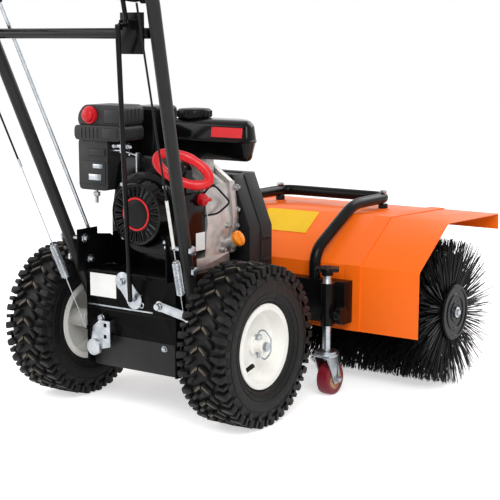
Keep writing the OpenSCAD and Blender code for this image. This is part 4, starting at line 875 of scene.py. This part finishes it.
def build_air_box():
    """Air cleaner with its band, lid, raised pads, clips and the primer bulb."""
    left, right, back, front = -194, -64, -38, 40
    parts = []
    for low, high, ends in (((-187, 516), (-107, 577), (0, front)), ((-188, 466), (-106, 578), (-32, 7.6)),
                            ((left, 574), (right, 606), (back, front))):
        outline = [low, (high[0], low[1]), high, (low[0], high[1])]
        parts.append(prism(round_outline(outline, 10), *ends, "Y", 5, 4))
    outline = [(left + 6, 605), (right, 605), (right, 650), (left + 24, 650), (left + 6, 628)]
    parts.append(prism(round_outline(outline, 14), back + 6, front, "Y", 8, 5))
    for low, high, bevel in (((-114, back - 1.6, 579), (-72, back + 4, 601), 1.4),
                             ((-114, back + 4.4, 611), (-72, back + 10, 641), 1.4),
                             ((-178, -34, 480), (-112, -30, 528), 1.6),
                             ((-160, -35.4, 541), (-112, -30, 556), 2.0)):
        parts.append(block(low, high, bevel, 3))
    piece("air_cleaner", join(parts), "grey_plastic", "chassis", ("air_box",))
    places = [(at(left + 20 + 11 * k, back + 0.6, 590), UPRIGHT) for k in range(5)]
    places += [(at(right, back + 16 + 12 * k, 627), UPRIGHT, (1.0, 1.0, 1.2)) for k in range(5)]
    rib = rounded_box((3.6, 4, 24), 0.9, 2)
    repeat_piece("air_cleaner_ribs", rib, places, "grey_plastic", "chassis")
    clips = [block((-145, -36, 514), (-118, -33, 523), 0.8, 2),
             block((-157, -36, 488), (-122, -33, 501), 0.8, 2),
             tube([at(-154, -14, 468), at(-154, -14, 436)], 4, 20),
             hex_bolt(at(-154, -14, 460), -Z, 14, 8, 9)]
    piece("air_cleaner_clips", join(clips), "zinc", "chassis")
    bulb = [(0, 20), (7, 19.6), (12, 17.6), (15, 14), (15.4, 9.6), (18.4, 9), (19, 8), (19, 0.6), (18, 0),
            (0, 0)]
    bulb = lathe(bulb, at(-152, -30.4, 628), -Y, 48)
    piece("primer_button", bulb, "red_plastic", "primer_bulb", ("primer_bulb",))


def build_belt_cover():
    """Two moulded belt cover shells with their seam, ribs and bolts."""
    for node in ("belt_cover_rear", "belt_cover_front"):
        soften(node, 3.0, 4, slot="cover_plastic", angle=30)
    outline = [(-130, 130), (130, 130), (130, 380), (83, 496), (-83, 496), (-130, 380)]
    # The seam stands proud of the shells by this share, about the middle of their height
    proud, middle = 1.004, 313
    path = [at(x * proud, 206, middle + (z - middle) * proud) for x, z in round_outline(outline, 10)]
    piece("cover_seam", tube(path, 1.8, 10, True), "cover_plastic", "chassis")
    places = [(at(side * 130.5, 227.5, 204 + 50 * k), UPRIGHT) for side in (-1, 1) for k in range(4)]
    repeat_piece("cover_ribs", rounded_box((3, 31, 8), 1.2, 2), places, "cover_plastic", "chassis")
    rows = [(at(side * x, 249, z), Y) for side in (-1, 1) for x, z in ((112, 150), (112, 360), (62, 478))]
    fasteners("cover_bolts", rows, "chassis", 10, 4, 7)


# Brush head

# Middle of the brush, and how far its discs and its shaft reach to each side
BRUSH = (HEAD_X, 520.0, 172.0)
BRUSH_OUT, SHAFT_OUT = 404.0, 410.0
# Each half of the roll runs between these distances from the middle; its ends flare over the last stretch
ROLL_IN, ROLL_OUT, FLARE_FROM, FLARE = 42, 399, 330, 0.16
ROLL_R = 57.5
# Spread of the strands: angle round the roll, place along it in mm, lean and angle of the tip
ANGLE_SPREAD, PLACE_SPREAD, LEAN_SPREAD, TIP_SPREAD = 0.02, 2.6, 0.05, 0.06
# Their lengths in mm, and how far they are turned about themselves
STRAND_LENGTHS, TWIST = (104, 110.5), 6.283
# A strand of unit length: angles of its corners, and its rings as radius, sideways shift and height
STRAND_CORNERS = (0.0, 2.094, 4.189)
STRAND_RINGS = ((0.85, 0.0, 0.0), (0.8, 0.4, 0.55), (0.6, 1.6, 1.0))


def strand_item():
    rings = [[(r * math.cos(a) + shift, r * math.sin(a), h) for a in STRAND_CORNERS]
             for r, shift, h in STRAND_RINGS]
    return from_bm(shell(rings, base=False))


def build_brush():
    """Roll of bristles in two halves, its backing tubes and the pressed end discs."""
    settings = bpy.context.scene.sweeper
    random.seed(7)
    axis = at(*BRUSH)
    rows, around, wide = settings.bristle_rows, settings.row_strands, settings.strand_width
    for side, word in SIDES:
        x0, x1 = sorted((side * ROLL_IN, side * ROLL_OUT))
        places = []
        for i in range(rows):
            x = x0 + (x1 - x0) * (i + 0.5) / rows
            for k in range(around):
                a = 2 * math.pi * (k + 0.5 * (i % 2)) / around + random.gauss(0, ANGLE_SPREAD)
                px = min(max(x + random.gauss(0, PLACE_SPREAD), x0), x1)
                flare = max(0.0, (abs(px) - FLARE_FROM) / (ROLL_OUT - FLARE_FROM)) ** 2 * FLARE
                lean = random.gauss(0, LEAN_SPREAD) + math.copysign(flare, px)
                twist = random.uniform(0, TWIST)
                length = random.uniform(*STRAND_LENGTHS)
                p = axis + Vector((mm(px), mm(ROLL_R) * math.cos(a), mm(ROLL_R) * math.sin(a)))
                tip_y = math.cos(lean) * math.cos(a + random.gauss(0, TIP_SPREAD))
                tip_z = math.cos(lean) * math.sin(a + random.gauss(0, TIP_SPREAD))
                out = Vector((math.sin(lean), tip_y, tip_z)).normalized()
                turn = (out.to_track_quat("Z", "Y") @ Euler((0, 0, twist)).to_quaternion()).to_euler()
                places.append((p, tuple(turn), (wide, wide, mm(length))))
        mesh = repeat("strands", strand_item(), places, "bristle_plastic")
        piece("bristle_roll_" + word, mesh, "bristle_plastic", "brush", ("bristles",), 80)
    core = []
    for side in (-1, 1):
        x0, x1 = sorted((side * (ROLL_IN - 1), side * ROLL_OUT))
        core.append(lathe([(44.2, x0), (57.8, x0), (57.8, x1), (44.2, x1), (44.2, x0)], axis, X, 64))
    piece("bristle_backing", join(core), "bristle_plastic", "brush")
    soften("end_discs", 0.8)
    pressed = [(13.2, -0.5), (13.2, 0.4), (17, 0.4), (19, 2.4), (23, 2.4), (25, 0.4), (35, 0.4), (37, 2.6),
               (42, 2.6), (44, 0.4), (54, 0.4), (56, 2.4), (61, 2.4), (63.4, 0.6), (63.4, -0.5)]
    rings = [lathe(pressed, axis + X * mm(side * BRUSH_OUT), side * X, 80) for side in (-1, 1)]
    piece("end_disc_rings", join(rings), "black_paint", "brush")
    rows = [(axis + X * mm(side * (SHAFT_OUT - 1)), side * X) for side in (-1, 1)]
    fasteners("end_disc_bolts", rows, "brush", 13, 4.5, 9)


# Outer face of the hood from its back edge over the top to the front flap, as Y Z in mm
HOOD_LINE = ((338, 141), (340, 289), (477, 383), (750, 374), (750, 338))
# Middle of the beads along the hood's two end sheets, and the X of each
EDGE_LINE = ((339.3, 141), (341.2, 288.4), (477.4, 381.8), (747, 372.8), (748.7, 337))
HOOD_ENDS = (-351, 451)
# Middle of the bumper tube from its foot to the front, and the X of its two legs
BUMPER_LINE = ((319, 256), (319, 316), (487, 405), (655, 405))
BUMPER_LEGS = (200, -100)


def hood_strip(x0, x1, proud):
    """A flat strip that lies on the hood's outer face."""
    over, under = (offset_line(HOOD_LINE, d, False) for d in (proud, -0.4))
    return prism(over + under[::-1], x0, x1, "X", 0.3, 1)


def build_head():
    """Orange hood with its overlap strips and plain panel, the frame, bumper tube and gearbox."""
    for node, width in (("head_frame", 1.2), ("brush_gearbox", 1.0), ("caster_holders", 1.0), ("hood", 0.6),
                        ("bumper_bolts", 0.7)):
        soften(node, width)
    panel = prism([(412.0, 338.9), (474.0, 381.4), (473.5, 382.1), (411.5, 339.6)], -28, 116, "X", 0.2, 1)
    piece("hood_panel", panel, "yellow_film", "head")
    strips = [hood_strip(268, 307, 2.2), hood_strip(-207, -168, 2.2)]
    piece("hood_strips", join(strips), "orange_paint", "head", (), 25)
    right, left = ([at(x, y, z) for y, z in BUMPER_LINE] for x in BUMPER_LEGS)
    bumper = tube(bend(right + left[::-1], 0.036, 14), 13, 32)
    piece("bumper_tube", bumper, "black_paint", "head", ("bumper",))
    spacer = [(9.2, 2), (10.8, 2), (11.4, 4), (11.4, 12), (10.8, 14), (9.2, 14)]
    seat = [(9.2, 3), (13, 3), (16, 2), (17, -0.4)]
    feet = [at(x, 632, 377.6) for x in BUMPER_LEGS]
    piece("bumper_spacers", join([lathe(spacer, p, Z, 32) for p in feet]), "soft_rubber", "head")
    piece("bumper_seats", join([lathe(seat, p, (0, -0.03, 1), 40) for p in feet]), "orange_paint", "head")
    edges = [tube(bend([at(x, y, z) for y, z in EDGE_LINE], 0.006, 5), 1.6, 10) for x in HOOD_ENDS]
    piece("hood_edges", join(edges), "orange_paint", "head")


# Lobes of the star knobs, and their depth as a share of the radius
KNOB_LOBES, LOBE_DEPTH = 6, 0.115


def star_knob(origin, axis, radius, thick):
    """A knob with rounded lobes."""
    points = []
    for a in angles(KNOB_LOBES * 16):
        r = mm(radius) * (1 - LOBE_DEPTH + LOBE_DEPTH * math.cos(KNOB_LOBES * a))
        points.append((r * math.cos(a), r * math.sin(a)))
    bm = shell([[(*p, z) for p in points] for z in (mm(thick), 0.0)])
    rims = [e for e in bm.edges if abs(e.verts[0].co.z - e.verts[1].co.z) < 1e-9]
    round_edges(bm, rims, 2.2, 4)
    return moved(from_bm(bm), frame_at(origin, axis))


# Stems stand this far from the head's middle and here in Y; their wheels have an axle of their own
CASTER_OUT, CASTER_Y = 208, 278
WHEEL_Y, WHEEL_R = 294, 37.5
# Heights of the stem's top, the side clamp and the swivel race
STEM_TOP, CLAMP_Z, RACE_Z = 283, 187, 97


def build_casters():
    """Caster stems, star knobs, forks and wheels."""
    stem = [(0, 82), (5.4, 82), (6, 82.6), (6, 104), (10, 104), (10, 262), (9.4, 263), (9.4, STEM_TOP),
            (0, STEM_TOP)]
    tread = [(24, -15), (33, -15), (36.4, -12.6), (WHEEL_R, -8), (WHEEL_R, 8), (36.4, 12.6), (33, 15),
             (24, 15), (24, -15)]
    core = [(5.1, -15), (11, -15), (12, -12), (23, -11), (24, -14), (24, 14), (23, 11), (12, 12), (11, 15),
            (5.1, 15), (5.1, -15)]
    for side, word in SIDES:
        x = HEAD_X + side * CASTER_OUT
        out = side * X
        bar, fork, wheel, clamp = (kind + word for kind in
                                   ("caster_stem_", "caster_fork_", "caster_wheel_", "clamp_knob_"))

        def up(z):
            return at(x, CASTER_Y, z)

        def beside(length):
            """A place on the clamp's axis, in mm outwards from the stem."""
            return up(CLAMP_Z) + out * mm(length)

        piece("stem_bar_" + word, lathe(stem, up(0), Z, 40), "zinc", bar, (bar,))
        knob = [star_knob(up(STEM_TOP), Z, 29, 9),
                lathe([(0, 0), (14, 0), (12, 9), (0, 9)], up(STEM_TOP - 9), Z, 36),
                lathe([(9, 0), (8, 2.0), (0, 2.4)], up(STEM_TOP + 9), Z, 32)]
        piece("stem_knob_" + word, join(knob), "black_plastic", bar)
        knob = [star_knob(beside(28.5), out, 21, 14), tube([beside(10.8), beside(30)], 5, 20),
                lathe([(0, 0), (12, 0), (9.5, 3.5), (0, 3.5)], beside(25), out, 28)]
        piece("side_clamp_" + word, join(knob), "black_plastic", clamp, (clamp,))
        soften(fork, 0.8)
        race = tube(circle(up(RACE_Z), 26.2, X, Y, 48), 2.0, 10, True)
        piece("swivel_race_" + word, race, "zinc", fork)
        hub = at(x, WHEEL_Y, WHEEL_R)
        piece("caster_tread_" + word, lathe(tread, hub, X, 64), "maroon_rubber", wheel, (wheel,))
        piece("caster_core_" + word, lathe(core, hub, X, 48), "tan_core", wheel)
        nuts = [hex_bolt(hub + way * mm(18.6), way, 13, 6, 9) for way in (-X, X)]
        piece("caster_nuts_" + word, join(nuts), "zinc", fork)


def build_inside():
    """Materials for the drive inside, whose solids show as they are."""
    for node in ("gearbox", "worm_shaft", "drive_axle", "crankshaft", "drive_belts", "input_shaft",
                 "head_shaft", "brush_shaft"):
        materials = FRAME["nodes"][node].data.materials
        materials.clear()
        materials.append(finish_of(NODE_SLOT[node]))


# Stage

# Ambient light on the object, and what the floor adds to its own white where it is seen
AMBIENT, FLOOR_LIFT = 0.5, 0.56
WHITE, FLOOR_WHITE = (1.0, 1.0, 1.0, 1.0), (0.92, 0.92, 0.92, 1.0)
FLOOR_SIZE = 14.0
# Name, place, target, size and power of each lamp
LAMPS = (
    ("key", (2.4, -2.6, 3.0), (0, 0, 0.3), 2.2, 95.0),
    ("fill", (-2.8, -1.8, 1.8), (0, 0, 0.35), 2.6, 40.0),
    ("rim", (0.6, 3.2, 2.6), (0, 0, 0.4), 2.4, 50.0),
)
# Camera: place in the layout, degrees down and to the right of straight behind, lens and sensor in mm
CAMERA_AT, CAMERA_DOWN, CAMERA_RIGHT = (1725.5, -2141.3, 795.2), 9.35, 34.7
LENS, SENSOR = 93.6, 36.0


def seen_rays(tree):
    """One for camera, glossy and transmission rays, nought for the light that falls on the object."""
    path = add_node(tree, "ShaderNodeLightPath", {}, {})
    larger = {"operation": "MAXIMUM"}
    first = add_node(tree, "ShaderNodeMath", larger, {0: path["Is Camera Ray"], 1: path["Is Glossy Ray"]})[0]
    return add_node(tree, "ShaderNodeMath", larger, {0: first, 1: path["Is Transmission Ray"]})[0]


def build_stage():
    """Pale floor, soft studio light and the camera at the photograph's viewing angle."""
    scene = bpy.context.scene
    bm = bmesh.new()
    bmesh.ops.create_grid(bm, x_segments=1, y_segments=1, size=FLOOR_SIZE)
    mesh = from_bm(bm)
    # Seamless studio paper: an even matt white that runs into the background
    mat = bpy.data.materials.new("Pale studio floor")
    mat.use_nodes = True
    tree = mat.node_tree
    tree.nodes.remove(tree.nodes["Principled BSDF"])
    matt = add_node(tree, "ShaderNodeBsdfDiffuse", {}, {"Color": FLOOR_WHITE})[0]
    seen = add_node(tree, "ShaderNodeMath", {"operation": "MULTIPLY"}, {0: seen_rays(tree), 1: FLOOR_LIFT})[0]
    lift = add_node(tree, "ShaderNodeEmission", {}, {"Strength": seen})[0]
    both = add_node(tree, "ShaderNodeAddShader", {}, {0: matt, 1: lift})[0]
    tree.links.new(both, tree.nodes["Material Output"].inputs["Surface"])
    mesh.materials.append(mat)
    into_scene("studio_floor", mesh)
    scene.world = bpy.data.worlds.new("studio")
    scene.world.use_nodes = True
    tree = scene.world.node_tree
    sky = tree.nodes["Background"]
    sky.inputs["Color"].default_value = WHITE
    limits = {"Value": seen_rays(tree), "To Min": AMBIENT, "To Max": 1.0}
    level = add_node(tree, "ShaderNodeMapRange", {}, limits)["Result"]
    tree.links.new(level, sky.inputs["Strength"])
    for name, place, target, size, power in LAMPS:
        lamp = bpy.data.lights.new(name, "AREA")
        lamp.energy = power * scene.sweeper.light_share
        lamp.size = size
        obj = into_scene(name, lamp)
        obj.location = place
        obj.rotation_euler = (Vector(target) - Vector(place)).to_track_quat("-Z", "Y").to_euler()
    cam = bpy.data.cameras.new("camera")
    cam.sensor_width, cam.lens = SENSOR, LENS
    scene.camera = into_scene("camera", cam)
    scene.camera.location = at(*CAMERA_AT)
    scene.camera.rotation_euler = (math.radians(90 - CAMERA_DOWN), 0.0, math.radians(CAMERA_RIGHT))
    scene.view_settings.view_transform = "Standard"


# Settings, operators and panel

GROUPS = (("wheels", build_wheels), ("chassis", build_chassis), ("handle", build_handle),
          ("controls", build_controls), ("engine", build_engine), ("belt_cover", build_belt_cover),
          ("brush", build_brush), ("head", build_head), ("casters", build_casters), ("inside", build_inside),
          ("stage", build_stage))


def colour_setting(name, description, slot):
    """A colour that starts as the first colour of a finish."""
    return bpy.props.FloatVectorProperty(name=name, description=description, subtype="COLOR", size=3, min=0.0,
                                         max=1.0, default=srgb(FINISHES[slot][1])[:3])


class SweeperSettings(bpy.types.PropertyGroup):
    """Sizes and colours that a user would change."""

    hood_colour: colour_setting("Hood colour", "Powder coat of the brush hood", "orange_paint")
    wheel_colour: colour_setting("Wheel colour", "Enamel of the pressed wheels", "cream_paint")
    accent_colour: colour_setting("Accent colour", "Starter loop, primer, switch and red trim", "red_plastic")
    caster_colour: colour_setting("Caster colour", "Tread of the caster wheels", "maroon_rubber")
    lug_count: bpy.props.IntProperty(
        name="Tyre lugs", description="Lugs round each tyre, on each half", default=26, min=14, max=32)
    bristle_rows: bpy.props.IntProperty(
        name="Bristle rows", description="Rows of strands along each half of the brush", default=44, min=10,
        max=60)
    row_strands: bpy.props.IntProperty(
        name="Strands in a row", description="Strands round the brush in each row", default=150, min=40,
        max=200)
    strand_width: bpy.props.FloatProperty(
        name="Strand width", description="Half the width of a strand", subtype="DISTANCE", unit="LENGTH",
        default=0.0013, min=0.0005, max=0.003)
    edge_round: bpy.props.FloatProperty(
        name="Sheet edge", description="Rounding of the chassis' sheet edges", subtype="DISTANCE",
        unit="LENGTH", default=0.0009, min=0.0002, max=0.002)
    light_share: bpy.props.FloatProperty(
        name="Light", description="Share of the studio lamps' full power", subtype="FACTOR", default=1.25,
        min=0.1, max=2.0)


def operator_for(name, action):
    """An operator that builds one group of pieces."""
    def execute(self, context):
        action()
        return {"FINISHED"}

    return type("SWEEPER_OT_" + name, (bpy.types.Operator,), {
        "__doc__": action.__doc__, "bl_idname": "sweeper." + name,
        "bl_label": "Build " + name.replace("_", " "), "execute": execute})


OPERATORS = [operator_for(name, action) for name, action in GROUPS]


class SWEEPER_PT_panel(bpy.types.Panel):
    """Lists the sweeper's settings and build steps in the sidebar."""

    bl_label = "Sweeper"
    bl_idname = "SWEEPER_PT_panel"
    bl_space_type = "VIEW_3D"
    bl_region_type = "UI"
    bl_category = "Sweeper"

    def draw(self, context):
        for key in SweeperSettings.__annotations__:
            self.layout.prop(context.scene.sweeper, key)
        for op in OPERATORS:
            self.layout.operator(op.bl_idname)


CLASSES = [SweeperSettings] + OPERATORS + [SWEEPER_PT_panel]


def register():
    for cls in CLASSES:
        bpy.utils.register_class(cls)
    bpy.types.Scene.sweeper = bpy.props.PointerProperty(type=SweeperSettings)


def unregister():
    del bpy.types.Scene.sweeper
    for cls in reversed(CLASSES):
        bpy.utils.unregister_class(cls)


def main():
    register()
    for name, _ in GROUPS:
        getattr(bpy.ops.sweeper, name)()


if __name__ == "__main__":
    main()
